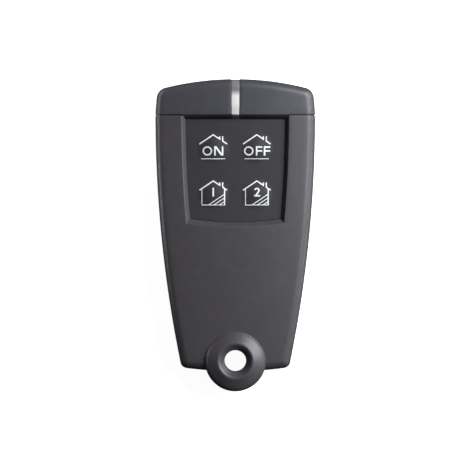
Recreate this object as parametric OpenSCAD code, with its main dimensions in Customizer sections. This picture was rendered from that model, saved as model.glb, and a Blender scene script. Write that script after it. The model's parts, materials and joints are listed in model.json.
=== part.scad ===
// Alarm key fob, lying on its back: keys face +Z, the light pipe points to +Y.

/* [Case] */
// Widest width of the case, at the seam of the end cap
body_w = 38.2; // [36:0.1:60]
// Length of the case without the part of the ring eye that stands out
body_l = 70.2; // [68:0.1:110]
// Thickness of the case at its highest point
body_t = 12; // [11.9:0.1:20]
// Wall thickness at the sides and under the front
wall = 1.5; // [1.2:0.1:2]
// Thickness of the flat rear wall
rear_wall = 1.4; // [1.2:0.1:1.5]
// Radius of the rounded edge, front and rear
edge_r = 2; // [1.6:0.1:2.4]
// Radius of the long side curves
side_r = 297.5; // [200:0.5:400]
// Radius of the bowed lower end
foot_r = 92.8; // [60:0.1:150]
// Corner radius at the lower end
foot_corner_r = 1.7; // [1:0.1:3]
// Radius of the front's crown across the case
crown_r = 110; // [90:1:200]
// Radius with which the front falls away towards the ring eye
droop_r = 400; // [350:5:800]
// Distance below the seam at which the front starts to fall away
droop_start = 17; // [10:0.5:25]

/* [End cap] */
// Length of the cap from the seam to its highest point
cap_l = 8.55; // [8:0.05:12]
// Radius of the bowed upper end
head_r = 70; // [50:1:120]
// Corner radius at the upper end
head_corner_r = 2.6; // [2.1:0.1:4]
// Radius of the cap's side curves
cap_side_r = 60; // [40:1:120]
// Distance below the seam at which the cap's side curves would be widest
cap_side_drop = 2.6; // [0:0.1:4]
// How far the cap's sloped lip reaches into the keypad recess
lip_l = 1.1; // [0.6:0.05:2]
// Length of the tongues that the cap slides over
tongue_l = 3.5; // [2:0.1:4]
// Thickness of the tongues
tongue_t = 0.9; // [0.7:0.05:1.2]
// Width of the light pipe at the upper end
pipe_w_head = 2; // [1.4:0.05:3]
// Width of the light pipe at the seam
pipe_w_seam = 1.8; // [1.4:0.05:3]
// Height at which the light pipe ends on the cap's upper side
pipe_low_z = 5; // [3:0.1:7]
// Length of the light pipe's foot above the lamp
pipe_foot_l = 2; // [1:0.1:2.4]

/* [Ring eye] */
// Diameter of the hole for the key ring
eye_hole_d = 5.2; // [4:0.1:6.5]
// Outer radius of the ring eye
eye_r = 7.3; // [6.4:0.1:10]
// Distance from the lowest point of the case up to the hole's centre
eye_rise = 2.5; // [1:0.1:4]
// Radius of the eye's crest
eye_crest_r = 4.26; // [3.8:0.02:5.5]
// How far the crest lies below the highest point of the case
eye_crest_drop = 0.8; // [0.4:0.1:1.2]
// Fall from the crest to the eye's outer edge
eye_outer_fall = 2.2; // [1.5:0.1:3]
// Fall from the crest to the rim of the hole
eye_inner_fall = 1.8; // [1:0.1:3]
// Chamfer of the eye's rear edges
eye_rear_chamfer = 0.8; // [0.3:0.1:1]

/* [Keypad] */
// Width of one key
key_w = 8.6; // [7.6:0.1:10.6]
// Length of one key
key_l = 8.6; // [7.6:0.1:10.6]
// Bridge between the two columns of keys
key_bridge_x = 1.86; // [1.4:0.02:3]
// Bridge between the two rows of keys
key_bridge_y = 2.48; // [1.4:0.02:3]
// Corner radius of a key
key_corner_r = 1; // [0.5:0.1:2]
// Travel of a key
key_travel = 0.35; // [0.2:0.05:0.4]
// Width of the rim that keeps a key under the keypad plate
key_rim = 0.4; // [0.3:0.05:0.6]
// Thickness of that rim
key_rim_t = 0.35; // [0.3:0.05:0.5]
// Room between that rim and the keypad plate
key_rim_room = 0.15; // [0.1:0.05:0.3]
// Depth of the keypad under the highest point of the case
recess_depth = 1.7; // [1.4:0.05:2]
// Width of the recess's sloped wall, seen from the front
recess_wall_w = 1.18; // [0.6:0.02:2]
// Radius of the recess's bowed lower end
recess_end_r = 70; // [50:1:120]
// Margin beside the keys on the recess floor
key_margin_side = 1.4; // [0.8:0.05:2]
// Margin below the keys on the recess floor
key_margin_low = 2.8; // [2:0.05:4]
// Margin above the keys on the recess floor
key_margin_high = 2.27; // [1.5:0.01:3]
// Thickness of the keypad film
film_t = 0.4; // [0.3:0.05:0.6]
// Thickness of the keypad plate under the film
plate_t = 1; // [0.8:0.05:1.4]
// Height of the printed legends
legend_t = 0.12; // [0.08:0.01:0.2]
// Stroke width of the pictograms
legend_stroke = 0.43; // [0.3:0.01:0.5]
// Stroke width of the letters and numbers
letter_stroke = 0.53; // [0.3:0.01:0.6]
// Sideways place of the legends on their keys
legend_x = -0.1; // [-0.3:0.01:0.3]

/* [Switches] */
// Width of a square push switch
switch_w = 5; // [4.5:0.1:6]
// Thickness of a switch's metal cover
switch_cover_t = 0.2; // [0.15:0.01:0.3]
// Thickness of a switch's floor
switch_floor_t = 0.25; // [0.2:0.01:0.3]
// Diameter of the chamber in a switch
switch_chamber_d = 4; // [3.6:0.1:4.2]
// Diameter of a switch's plunger
plunger_d = 2; // [1.5:0.1:2.6]
// Diameter of a plunger's collar inside the switch
plunger_collar_d = 3; // [2.8:0.1:3.4]
// Thickness of a plunger's collar
plunger_collar_t = 0.35; // [0.3:0.05:0.4]
// Thickness of a switch's snap dome
dome_t = 0.08; // [0.06:0.01:0.1]

/* [Board] */
// Thickness of the circuit board
board_t = 1; // [0.8:0.1:1.2]
// Width of the board's tongue inside the end cap
board_tongue_w = 14; // [8:0.5:20]
// Length of that tongue
board_tongue_l = 4; // [3:0.1:4.5]
// Distance of the lamp from the seam
lamp_from_seam = 2.4; // [2:0.1:2.8]
// Diameter of the posts that the board stands on
post_d = 2.4; // [1.6:0.1:3]
// Width of the radio chip
chip_w = 5; // [3:0.5:6]
// Width of the antenna's copper strip
antenna_w = 1.2; // [0.6:0.1:2]

/* [Battery] */
// Diameter of the coin cell
cell_d = 20; // [16:0.5:23]
// Thickness of the coin cell
cell_t = 3.2; // [2:0.1:3.2]
// Room between the coin cell and the board
cell_room = 0.5; // [0.4:0.05:0.6]
// Thickness of the battery's spring sheet
sheet_t = 0.3; // [0.2:0.05:0.35]
// Width of the battery clip
clip_w = 5; // [3:0.5:8]

/* [Screw] */
// Thread diameter of the case screw
screw_d = 2; // [1.6:0.1:2.4]
// Diameter of the screw's head
screw_head_d = 3.8; // [3:0.1:4]
// Height of the screw's head
screw_head_h = 1.3; // [1:0.1:1.5]
// Depth of the screw's head below the rear face
screw_head_sink = 0.5; // [0.2:0.1:0.8]
// Length of thread in the front shell
screw_grip = 2.6; // [2:0.1:2.8]
// Wall around the screw's head
boss_wall = 0.8; // [0.6:0.1:1.2]

/* [Fit] */
// Width of the groove at the end cap's seam
seam_gap = 0.28; // [0.1:0.02:0.4]
// Width of the groove between the front and rear shells
parting_gap = 0.1; // [0.05:0.01:0.3]
// Gap around each key
key_gap = 0.1; // [0.08:0.01:0.2]
// Gap between pieces that are pushed or laid into each other
fit_gap = 0.1; // [0.08:0.01:0.2]
// Gap beside the light pipe
pipe_gap = 0.05; // [0.03:0.01:0.1]
// Room between pieces that only pass each other
room = 0.5; // [0.3:0.1:0.8]

/* [Hidden] */
$fn = 48;
KEYS = ["on", "off", "one", "two"];

// Steps along the rounded stretches of the case
side_steps = 10;
end_steps = 7;
corner_steps = 5;
cap_steps = 3;
roll_steps = 4;
// Shares of the outline at which the crown is sampled, from the edge inwards
crown_shares = [0.75, 0.5, 0.25];
least_corner_r = 0.3;
// Overlap that fuses neighbouring solids of one piece
bond = 0.3;
// Length by which a cutter passes the surface it cuts
past = 2;
// Height of the recess's cutter, in heights of the recess's wall
flare_reach = 3;

// Places along the case
overall_l = body_l + eye_r - eye_rise;
head_y = overall_l / 2;
foot_y = head_y - body_l;
mid_y = (head_y + foot_y) / 2;
seam_y = head_y - cap_l;
shell_end_y = seam_y - seam_gap / 2;
cap_start_y = seam_y + seam_gap / 2;
eye_y = foot_y + eye_rise;
lip_foot_y = seam_y - lip_l;

// Heights, from the rear face upwards
parting_z = body_t / 2;
rear_top_z = parting_z - parting_gap / 2;
front_low_z = parting_z + parting_gap / 2;
floor_z = body_t - recess_depth;
plate_top_z = floor_z - film_t;
plate_low_z = plate_top_z - plate_t;
key_low_z = plate_low_z - key_rim_room - key_rim_t;
plunger_stand = key_travel + key_rim_room;
switch_h = switch_floor_t + key_travel + plunger_collar_t + switch_cover_t + 1.5 * fit_gap;
switch_top_z = key_low_z - plunger_stand;
board_top_z = switch_top_z - switch_h;
board_low_z = board_top_z - board_t;
cell_top_z = board_low_z - cell_room;
cell_low_z = cell_top_z - cell_t;
eye_crest_z = body_t - eye_crest_drop;

// Places of the keys
key_pitch_x = key_w + key_bridge_x;
key_pitch_y = key_l + key_bridge_y;
key_high_y = lip_foot_y - key_margin_high - key_l / 2;
key_low_y = key_high_y - key_pitch_y;
key_at = [
  [-key_pitch_x / 2, key_high_y],
  [key_pitch_x / 2, key_high_y],
  [-key_pitch_x / 2, key_low_y],
  [key_pitch_x / 2, key_low_y]
];
keys_edge_x = key_pitch_x / 2 + key_w / 2;
keys_edge_y = key_low_y - key_l / 2;

// Screw, board and battery, from the ring eye upwards
boss_r = screw_head_d / 2 + fit_gap + boss_wall;
screw_y = eye_y + eye_r + boss_wall + boss_r;
board_foot_y = screw_y + boss_r + room;
cell_y = board_foot_y + boss_wall + cell_d / 2;
board_head_y = seam_y + board_tongue_l;
board_shoulder_y = lip_foot_y - fit_gap;
board_inset = wall + 2 * fit_gap;
lamp_y = seam_y + lamp_from_seam;

// Centres of the outline's arcs, for the right-hand side
side_c = [body_w / 2 - side_r, seam_y];
foot_c = [0, foot_y + foot_r];
head_c = [0, head_y - head_r];
cap_c = [body_w / 2 - sqrt(pow(cap_side_r, 2) - pow(cap_side_drop, 2)), seam_y - cap_side_drop];

// Recess floor: its sides run along the case's sides, clear of the lowest keys
floor_inset = side_r - norm([keys_edge_x + key_margin_side - side_c.x, keys_edge_y - seam_y]);
recess_end_c = [0, keys_edge_y - key_margin_low - recess_wall_w + recess_end_r];

// Geometry helpers

function bearing(from, to) = atan2(to.y - from.y, to.x - from.x);

function arc(c, r, from, to, steps) =
  [for (i = [0:steps]) let (a = from + (to - from) * i / steps) [c.x + r * cos(a), c.y + r * sin(a)]];

// Crossing of two circles, on the left of the line from the first centre to the second
function crossing(c0, r0, c1, r1) =
  let (d = c1 - c0)
  let (l = norm(d))
  let (a = (r0 * r0 - r1 * r1 + l * l) / (2 * l))
  let (h = sqrt(max(0, r0 * r0 - a * a)))
  c0 + d * a / l + [-d.y, d.x] * h / l;

function without_first(list) = [for (i = [1:len(list) - 1]) list[i]];

// A closed outline from its right half; the half starts on the axis and may end on it
function both_sides(half) =
  let (last = len(half) - (abs(half[len(half) - 1].x) < 0.001 ? 2 : 1))
  concat(half, [for (i = [last:-1:1]) [-half[i].x, half[i].y]]);

// Outline of the case, moved inwards by an inset
function outline(inset) =
  let (foot_corner = max(foot_corner_r - inset, least_corner_r))
  let (head_corner = max(head_corner_r - inset, least_corner_r))
  let (foot_f = crossing(foot_c, foot_r - inset - foot_corner, side_c, side_r - inset - foot_corner))
  let (head_f = crossing(cap_c, cap_side_r - inset - head_corner, head_c, head_r - inset - head_corner))
  let (cap_from = asin(cap_side_drop / (cap_side_r - inset)))
  both_sides(concat(
    arc(foot_c, foot_r - inset, -90, bearing(foot_c, foot_f), end_steps),
    without_first(arc(foot_f, foot_corner, bearing(foot_c, foot_f), bearing(side_c, foot_f), corner_steps)),
    without_first(arc(side_c, side_r - inset, bearing(side_c, foot_f), 0, side_steps)),
    without_first(arc(cap_c, cap_side_r - inset, cap_from, bearing(cap_c, head_f), cap_steps)),
    without_first(arc(head_f, head_corner, bearing(cap_c, head_f), bearing(head_c, head_f), corner_steps)),
    without_first(arc(head_c, head_r - inset, bearing(head_c, head_f), 90, end_steps))
  ));

// Outline of the keypad recess at its floor, or moved outwards towards its rim
function recess_outline(grow) =
  let (r_side = side_r - floor_inset + grow)
  let (r_end = recess_end_r - recess_wall_w + grow)
  let (corner = crossing(recess_end_c, r_end, side_c, r_side))
  let (top = asin(past / r_side))
  both_sides(concat(
    arc(recess_end_c, r_end, -90, bearing(recess_end_c, corner), end_steps),
    without_first(arc(side_c, r_side, bearing(side_c, corner), top, side_steps))
  ));

// Height of the crowned front
function crown_z(p) =
  body_t - p.x * p.x / (2 * crown_r) - pow(max(0, seam_y - droop_start - p.y), 2) / (2 * droop_r);

function level_ring(inset, z) = [for (p = outline(inset)) [p.x, p.y, z]];

function crown_ring(inset, drop, share = 1) =
  [for (p = outline(inset))
    let (q = [0, mid_y] + (p - [0, mid_y]) * share)
    [q.x, q.y, crown_z(q) - drop]];

// Rings of the rounded edge, from the case's side to the flat of the front or rear
function front_rings() = concat(
  [for (i = [0:roll_steps])
    let (a = 90 * i / roll_steps)
    crown_ring(edge_r * (1 - cos(a)), edge_r * (1 - sin(a)))],
  [for (share = crown_shares) crown_ring(edge_r, 0, share)]
);

function rear_rings() =
  [for (i = [roll_steps:-1:0])
    let (a = 90 * i / roll_steps)
    level_ring(edge_r * (1 - cos(a)), edge_r * (1 - sin(a)))];

// A closed solid through rings of points, from its lowest ring to its highest
module loft(rings, low, high) {
  n = len(rings[0]);
  points = concat([low, high], [for (ring = rings) each ring]);
  top = 2 + (len(rings) - 1) * n;
  faces = concat(
    [for (i = [0:n - 1]) [0, 2 + i, 2 + (i + 1) % n]],
    [for (i = [0:n - 1]) [1, top + (i + 1) % n, top + i]],
    [for (k = [0:len(rings) - 2])
      for (i = [0:n - 1])
        let (a = 2 + k * n + i, b = 2 + k * n + (i + 1) % n)
        each [[a, a + n, b + n], [a, b + n, b]]]
  );
  polyhedron(points, faces);
}

function crown_top(drop) = [0, mid_y, crown_z([0, mid_y]) - drop];

// Outer form of the case above the parting plane
module front_form() {
  loft(concat([level_ring(0, front_low_z)], front_rings()), [0, mid_y, front_low_z], crown_top(0));
}

// Outer form of the case below the parting plane
module rear_form() {
  loft(concat(rear_rings(), [level_ring(0, rear_top_z)]), [0, mid_y, 0], [0, mid_y, rear_top_z]);
}

// Outer form of the case without a parting
module whole_form() {
  loft(concat(rear_rings(), front_rings()), [0, mid_y, 0], crown_top(0));
}

// Space inside the walls, from a given height up to the front's inner side
module cavity(low_z) {
  loft(
    concat(
      [level_ring(wall, low_z), crown_ring(wall, wall)],
      [for (share = crown_shares) crown_ring(wall, wall, share)]
    ),
    [0, mid_y, low_z],
    crown_top(wall)
  );
}

// Everything on one side of the seam
module beyond_seam(y, towards) {
  translate([-body_w, towards > 0 ? y : y - 2 * overall_l, -past])
    cube([2 * body_w, 2 * overall_l, body_t + 2 * past]);
}

// Box between two corners
module box(low, high) {
  translate(low)
    cube(high - low);
}

// Plan of a key with rounded corners
function key_plan(grow) =
  let (r = key_corner_r + grow)
  let (x = key_w / 2 - key_corner_r)
  let (y = key_l / 2 - key_corner_r)
  concat(
    arc([x, y], r, 0, 90, corner_steps),
    arc([-x, y], r, 90, 180, corner_steps),
    arc([-x, -y], r, 180, 270, corner_steps),
    arc([x, -y], r, 270, 360, corner_steps)
  );

module key_prism(k, grow, low_z, high_z) {
  translate([key_at[k].x, key_at[k].y, low_z])
    linear_extrude(high_z - low_z)
      polygon(key_plan(grow));
}

// Sunk keypad: upright beside the film, then sloped outwards through the front
module recess(grow) {
  at_floor = recess_outline(grow);
  at_rim = recess_outline(grow + recess_wall_w);
  flare = [for (i = [0:len(at_floor) - 1])
    let (f = [at_floor[i].x, at_floor[i].y, floor_z])
    let (r = [at_rim[i].x, at_rim[i].y, crown_z(at_rim[i])])
    f + flare_reach * (r - f)];
  loft(
    [
      [for (p = at_floor) [p.x, p.y, plate_top_z]],
      [for (p = at_floor) [p.x, p.y, floor_z]],
      flare
    ],
    [0, key_low_y, plate_top_z],
    [0, key_low_y, body_t + past]
  );
}

// Solid tub that carries the recess inside the front shell
module recess_tub() {
  translate([0, 0, plate_low_z])
    linear_extrude(body_t)
      polygon(recess_outline(recess_wall_w + wall));
}

// Rising front half of the ring eye
module eye_front() {
  outer = [for (i = [0:roll_steps])
    let (a = 90 * i / roll_steps)
    [eye_crest_r + (eye_r - eye_crest_r) * cos(a), eye_crest_z - eye_outer_fall * (1 - sin(a))]];
  inner = [for (i = [0:roll_steps])
    let (a = 90 * i / roll_steps)
    let (r = eye_hole_d / 2)
    [eye_crest_r - (eye_crest_r - r) * sin(a), eye_crest_z - eye_inner_fall * (1 - cos(a))]];
  translate([0, eye_y, 0])
    rotate_extrude()
      polygon(concat(
        [[eye_hole_d / 4, front_low_z], [eye_r, front_low_z]],
        outer,
        without_first(inner),
        [[eye_hole_d / 4, eye_crest_z - eye_inner_fall]]
      ));
}

// Rear half of the ring eye
module eye_rear() {
  r = eye_hole_d / 2;
  translate([0, eye_y, 0])
    rotate_extrude()
      polygon([
        [r / 2, eye_rear_chamfer],
        [r, eye_rear_chamfer],
        [r + eye_rear_chamfer, 0],
        [eye_r - eye_rear_chamfer, 0],
        [eye_r, eye_rear_chamfer],
        [eye_r, rear_top_z],
        [r / 2, rear_top_z]
      ]);
}

// Room for one half of the ring eye in the case
module eye_room(r, low_z) {
  translate([0, eye_y, low_z])
    cylinder(r = r, h = body_t + past);
}

module eye_hole() {
  translate([0, eye_y, -past])
    cylinder(d = eye_hole_d, h = body_t + 2 * past);
}

module at_screw(z) {
  translate([0, screw_y, z])
    children();
}

// Tongue under the front of the cap, with a slot for the light pipe's foot
module front_tongue() {
  half_w = keys_edge_x - wall;
  slot = pipe_w_head / 2 + room;
  difference() {
    box(
      [-half_w, shell_end_y - past, plate_low_z],
      [half_w, seam_y + tongue_l, plate_low_z + tongue_t]
    );
    box(
      [-slot, lamp_y - pipe_foot_l, plate_low_z - past],
      [slot, seam_y + tongue_l + past, body_t]
    );
  }
}

// Tongue above the rear of the cap
module rear_tongue() {
  half_w = keys_edge_x - wall;
  low = rear_wall + fit_gap;
  box([-half_w, shell_end_y - past, rear_wall - bond], [half_w, shell_end_y, low + tongue_t]);
  box([-half_w, shell_end_y - past, low], [half_w, seam_y + tongue_l, low + tongue_t]);
}

// Case

module front_shell() {
  color("dimgray")
    difference() {
      union() {
        difference() {
          intersection() {
            front_form();
            beyond_seam(shell_end_y, -1);
          }
          difference() {
            cavity(front_low_z - past);
            recess_tub();
            eye_room(eye_r, 0);
            at_screw(0)
              cylinder(r = boss_r - fit_gap, h = body_t);
          }
          eye_room(eye_crest_r, 0);
        }
        eye_front();
        front_tongue();
      }
      recess(0);
      for (k = [0:len(KEYS) - 1])
        key_prism(k, key_gap, plate_low_z - past, floor_z);
      eye_hole();
      at_screw(front_low_z - past)
        cylinder(d = screw_d + fit_gap, h = screw_grip + 2 * bond + past);
    }
}

module board_posts() {
  for (side = [-1, 1])
    for (p = post_at)
      translate([side * p.x, p.y, rear_wall - bond])
        cylinder(d = post_d, h = board_low_z - rear_wall + bond);
}

module rear_shell() {
  head_top_z = screw_head_sink + screw_head_h;
  color("dimgray")
    difference() {
      union() {
        difference() {
          intersection() {
            rear_form();
            beyond_seam(shell_end_y, -1);
          }
          translate([0, 0, rear_wall])
            linear_extrude(body_t)
              polygon(outline(wall));
          eye_room(eye_hole_d / 2 + eye_rear_chamfer + bond, -past);
        }
        eye_rear();
        rear_tongue();
        board_posts();
        at_screw(rear_wall - bond)
          cylinder(r = boss_r, h = rear_top_z - rear_wall + bond);
      }
      eye_hole();
      at_screw(-past)
        cylinder(d = screw_head_d + 2 * fit_gap, h = head_top_z + past);
      at_screw(0)
        cylinder(d = screw_d + 2 * fit_gap, h = body_t);
    }
}

// Sloped lip that closes the upper end of the recess
module cap_lip() {
  half_w = body_w / 2;
  low = plate_top_z + fit_gap / 2;
  stations = [for (i = [0:end_steps]) -half_w + 2 * half_w * i / end_steps];
  back_y = cap_start_y + wall;
  intersection() {
    recess(-fit_gap / 2);
    loft(
      [for (x = stations)
        let (front = crown_z([x, seam_y]) - fit_gap)
        [
          [x, lip_foot_y, low],
          [x, back_y, low],
          [x, back_y, front - wall / 2],
          [x, cap_start_y, front],
          [x, lip_foot_y, floor_z]
        ]],
      [-half_w, seam_y, floor_z],
      [half_w, seam_y, floor_z]
    );
  }
}

// The cap with its lip, before the light pipe's slot is cut
module cap_solid() {
  difference() {
    intersection() {
      whole_form();
      beyond_seam(cap_start_y, 1);
    }
    cavity(rear_wall);
  }
  cap_lip();
}

// Tapered plan of the light pipe, from the lip to past the upper end
module pipe_prism(clear, low_z) {
  head = pipe_w_head / 2 + clear;
  seam = pipe_w_seam / 2 + clear;
  translate([0, 0, low_z])
    linear_extrude(body_t)
      polygon([
        [-seam, lip_foot_y - past],
        [seam, lip_foot_y - past],
        [seam, seam_y],
        [head, head_y],
        [head, head_y + past],
        [-head, head_y + past],
        [-head, head_y],
        [-seam, seam_y]
      ]);
}

module end_cap() {
  color("dimgray")
    difference() {
      cap_solid();
      pipe_prism(pipe_gap, pipe_low_z - pipe_gap);
    }
}

module light_pipe() {
  half_w = pipe_w_seam / 2 - pipe_gap;
  color("white")
    union() {
      intersection() {
        cap_solid();
        pipe_prism(0, pipe_low_z);
      }
      box(
        [-half_w, lamp_y - pipe_foot_l / 2, lamp_top_z + fit_gap],
        [half_w, lamp_y + pipe_foot_l / 2, body_t - wall + bond]
      );
    }
}

// Keypad

module keypad_film() {
  color("dimgray")
    translate([0, 0, plate_top_z])
      difference() {
        linear_extrude(film_t)
          intersection() {
            polygon(recess_outline(-fit_gap / 2));
            translate([-body_w, -overall_l])
              square([2 * body_w, overall_l + lip_foot_y - fit_gap]);
          }
        for (at = key_at)
          translate([at.x, at.y, -past])
            linear_extrude(film_t + 2 * past)
              polygon(key_plan(key_gap));
      }
}

module key_pad(k) {
  color("dimgray")
    union() {
      key_prism(k, 0, key_low_z, floor_z);
      key_prism(k, key_rim, key_low_z, key_low_z + key_rim_t);
    }
}

// Legends, drawn about the centre of their key

// A stroke through points, with round ends and corners
module stroke(points, w) {
  for (p = points)
    translate(p)
      circle(d = w);
  for (i = [1:len(points) - 1]) {
    d = points[i] - points[i - 1];
    translate(points[i - 1])
      rotate(atan2(d.y, d.x))
        translate([0, -w / 2])
          square([norm(d), w]);
  }
}

module ellipse_ring(at, rx, ry, w) {
  steps = 32;
  translate(at)
    difference() {
      polygon([for (i = [1:steps]) [rx * cos(360 * i / steps), ry * sin(360 * i / steps)]]);
      polygon([for (i = [1:steps]) [(rx - w) * cos(360 * i / steps), (ry - w) * sin(360 * i / steps)]]);
    }
}

roof_apex = [0, 2.88];
roof_eave = [3.2, 0.74];
chimney_x = [1.48, 2.18];
chimney_top = 2.42;
letter_low = -2.16;
letter_high = 0.23;
letter_gap = 0.3;
o_w = 2.6;
n_w = 2.4;
f_w = 1.64;
underline_y = -2.88;
underline_half = 2.75;
house_wall_x = 2.74;
house_low = -2.88;
shade_first = 1.1;
shade_pitch = 1.33;
shade_count = 3;
digit_low = -1.06;
digit_high = 1.3;
digit_w = 1.56;

// Slope of the roof, and its height at a place right of the middle
roof_slope = (roof_apex.y - roof_eave.y) / roof_eave.x;
function roof_y(x) = roof_apex.y - roof_slope * x;

// Roof with an open chimney on its right-hand slope
module roof() {
  stroke([
    [-roof_eave.x, roof_eave.y],
    roof_apex,
    [chimney_x[0], roof_y(chimney_x[0])],
    [chimney_x[0], chimney_top]
  ], legend_stroke);
  stroke([[chimney_x[1], chimney_top], [chimney_x[1], roof_y(chimney_x[1])], roof_eave], legend_stroke);
}

// Letters, each from its left edge, with their strokes inside the lettering's height
letter_half = letter_stroke / 2;
letter_foot = letter_low + letter_half;
letter_head = letter_high - letter_half;
letter_mid = (letter_low + letter_high) / 2;

module letter_o(left) {
  ellipse_ring([left + o_w / 2, letter_mid], o_w / 2, (letter_high - letter_low) / 2, letter_stroke);
}

module letter_n(left) {
  from = left + letter_half;
  to = left + n_w - letter_half;
  stroke([[from, letter_foot], [from, letter_head], [to, letter_foot], [to, letter_head]], letter_stroke);
}

module letter_f(left) {
  from = left + letter_half;
  to = left + f_w - letter_half;
  stroke([[from, letter_foot], [from, letter_head], [to, letter_head]], letter_stroke);
  stroke([[from, letter_mid], [to, letter_mid]], letter_stroke);
}

module word_on() {
  left = -(o_w + letter_gap + n_w) / 2;
  letter_o(left);
  letter_n(left + o_w + letter_gap);
}

module word_off() {
  left = -o_w / 2 - letter_gap - f_w;
  letter_o(left);
  for (i = [0, 1])
    letter_f(left + o_w + letter_gap + i * (f_w + letter_gap));
}

module underline() {
  stroke([[-underline_half, underline_y], [underline_half, underline_y]], legend_stroke);
}

// Walls under the roof, with shading strokes in the lower right corner
module walls() {
  stroke([
    [-house_wall_x, roof_y(house_wall_x)],
    [-house_wall_x, house_low],
    [house_wall_x, house_low],
    [house_wall_x, roof_y(house_wall_x)]
  ], legend_stroke);
  for (i = [0:shade_count - 1]) {
    reach = shade_first + i * shade_pitch;
    low = [house_wall_x - reach, house_low];
    high = [house_wall_x, house_low + roof_slope * reach];
    stroke([low, high], legend_stroke);
  }
}

module digit_one() {
  stroke([[0, digit_high - letter_half], [0, digit_low + letter_half]], letter_stroke);
}

module digit_two() {
  r = (digit_w - letter_stroke) / 2;
  bowl = [0, digit_high - letter_half - r];
  bowl_from = 165;
  bowl_to = -35;
  stroke(concat(
    arc(bowl, r, bowl_from, bowl_to, corner_steps + end_steps),
    [[-r, digit_low + letter_half], [r, digit_low + letter_half]]
  ), letter_stroke);
}

module legend(k) {
  color("white")
    translate([key_at[k].x + legend_x, key_at[k].y, floor_z])
      linear_extrude(legend_t) {
        roof();
        if (KEYS[k] == "on" || KEYS[k] == "off")
          underline();
        else
          walls();
        if (KEYS[k] == "on")
          word_on();
        if (KEYS[k] == "off")
          word_off();
        if (KEYS[k] == "one")
          digit_one();
        if (KEYS[k] == "two")
          digit_two();
      }
}

// Switches

cover_low_z = switch_top_z - switch_cover_t;
chamber_low_z = board_top_z + switch_floor_t;
collar_high_z = cover_low_z - fit_gap / 2;
collar_low_z = collar_high_z - plunger_collar_t;
dome_high_z = collar_low_z - fit_gap / 2;

module at_key(k, z) {
  translate([key_at[k].x, key_at[k].y, z])
    children();
}

module switch_base(k) {
  color("black")
    difference() {
      at_key(k, board_top_z)
        translate([-switch_w / 2, -switch_w / 2, 0])
          cube([switch_w, switch_w, switch_h - switch_cover_t]);
      at_key(k, chamber_low_z)
        cylinder(d = switch_chamber_d, h = switch_h);
    }
}

module switch_cover(k) {
  color("silver")
    difference() {
      at_key(k, cover_low_z)
        translate([-switch_w / 2, -switch_w / 2, 0])
          cube([switch_w, switch_w, switch_cover_t]);
      at_key(k, cover_low_z - past)
        cylinder(d = plunger_d + 2 * fit_gap, h = switch_h + past);
    }
}

module switch_plunger(k) {
  color("ivory")
    union() {
      at_key(k, collar_low_z)
        cylinder(d = plunger_d, h = key_low_z - collar_low_z);
      at_key(k, collar_low_z)
        cylinder(d = plunger_collar_d, h = plunger_collar_t);
    }
}

// Snap dome: a thin spherical cap on the chamber floor
module switch_dome(k) {
  half = switch_chamber_d / 2 - fit_gap;
  rise = dome_high_z - chamber_low_z;
  r = (half * half + rise * rise) / (2 * rise);
  color("gold")
    at_key(k, dome_high_z - r)
      intersection() {
        difference() {
          sphere(r);
          sphere(r - dome_t);
        }
        translate([0, 0, r - rise])
          cylinder(r = half, h = rise + past);
      }
}

// Board

// Half-width of the case's inside at a place along it
function inside_x(y, inset) = side_c.x + sqrt(pow(side_r - inset, 2) - pow(y - seam_y, 2));

post_inset = board_inset + post_d / 2;
post_at = [for (y = [board_foot_y + post_d / 2, board_shoulder_y - post_d]) [inside_x(y, post_inset), y]];
board_steps = 8;
board_half = [for (i = [0:board_steps])
  let (y = board_foot_y + (board_shoulder_y - board_foot_y) * i / board_steps)
  [inside_x(y, board_inset), y]];

module circuit_board() {
  color("darkgreen")
    translate([0, 0, board_low_z])
      linear_extrude(board_t)
        polygon(both_sides(concat(
          [[0, board_foot_y]],
          board_half,
          [
            [board_tongue_w / 2, board_shoulder_y],
            [board_tongue_w / 2, board_head_y],
            [0, board_head_y]
          ]
        )));
}

// A small component on the front of the board
module component(at, size) {
  translate([at.x - size.x / 2, at.y - size.y / 2, board_top_z])
    cube(size);
}

lamp_size = [2, 1.25, 0.8];
lamp_top_z = board_top_z + lamp_size.z;
chip_size = [chip_w, chip_w, 0.9];
crystal_size = [3.2, 2.5, 0.8];
small_size = [1.6, 0.8, 0.6];
chip_y = keys_edge_y - chip_w;
small_pitch = 2 * small_size.y;
small_count = 4;
antenna_t = 0.1;

module status_led() {
  color("white")
    component([0, lamp_y], lamp_size);
}

module radio_chip() {
  color("black")
    component([0, chip_y], chip_size);
}

module crystal() {
  color("silver")
    component([chip_w / 2 + crystal_size.x, chip_y], crystal_size);
}

// Two rows of small components below the radio chip
module small_row(side) {
  first_y = chip_y - chip_w / 2 - small_pitch;
  for (i = [0:small_count - 1])
    component([side * small_size.x, first_y - i * small_pitch], small_size);
}

module chip_capacitors() {
  color("tan")
    small_row(-1);
}

module chip_resistors() {
  color("black")
    small_row(1);
}

// Loop antenna: a copper strip along the board's lower edges
module antenna() {
  edge = board_inset + fit_gap;
  high_y = chip_y;
  low_y = board_foot_y + fit_gap;
  steps = [for (i = [0:board_steps]) low_y + (high_y - low_y) * i / board_steps];
  outer = [for (y = steps) [inside_x(y, edge), y]];
  inner = [for (i = [board_steps:-1:0])
    let (y = max(steps[i], low_y + antenna_w))
    [inside_x(y, edge + antenna_w), y]];
  half = concat([[0, low_y]], outer, inner, [[0, low_y + antenna_w]]);
  color("orange")
    translate([0, 0, board_top_z])
      linear_extrude(antenna_t)
        polygon(both_sides(half));
}

// Battery

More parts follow.
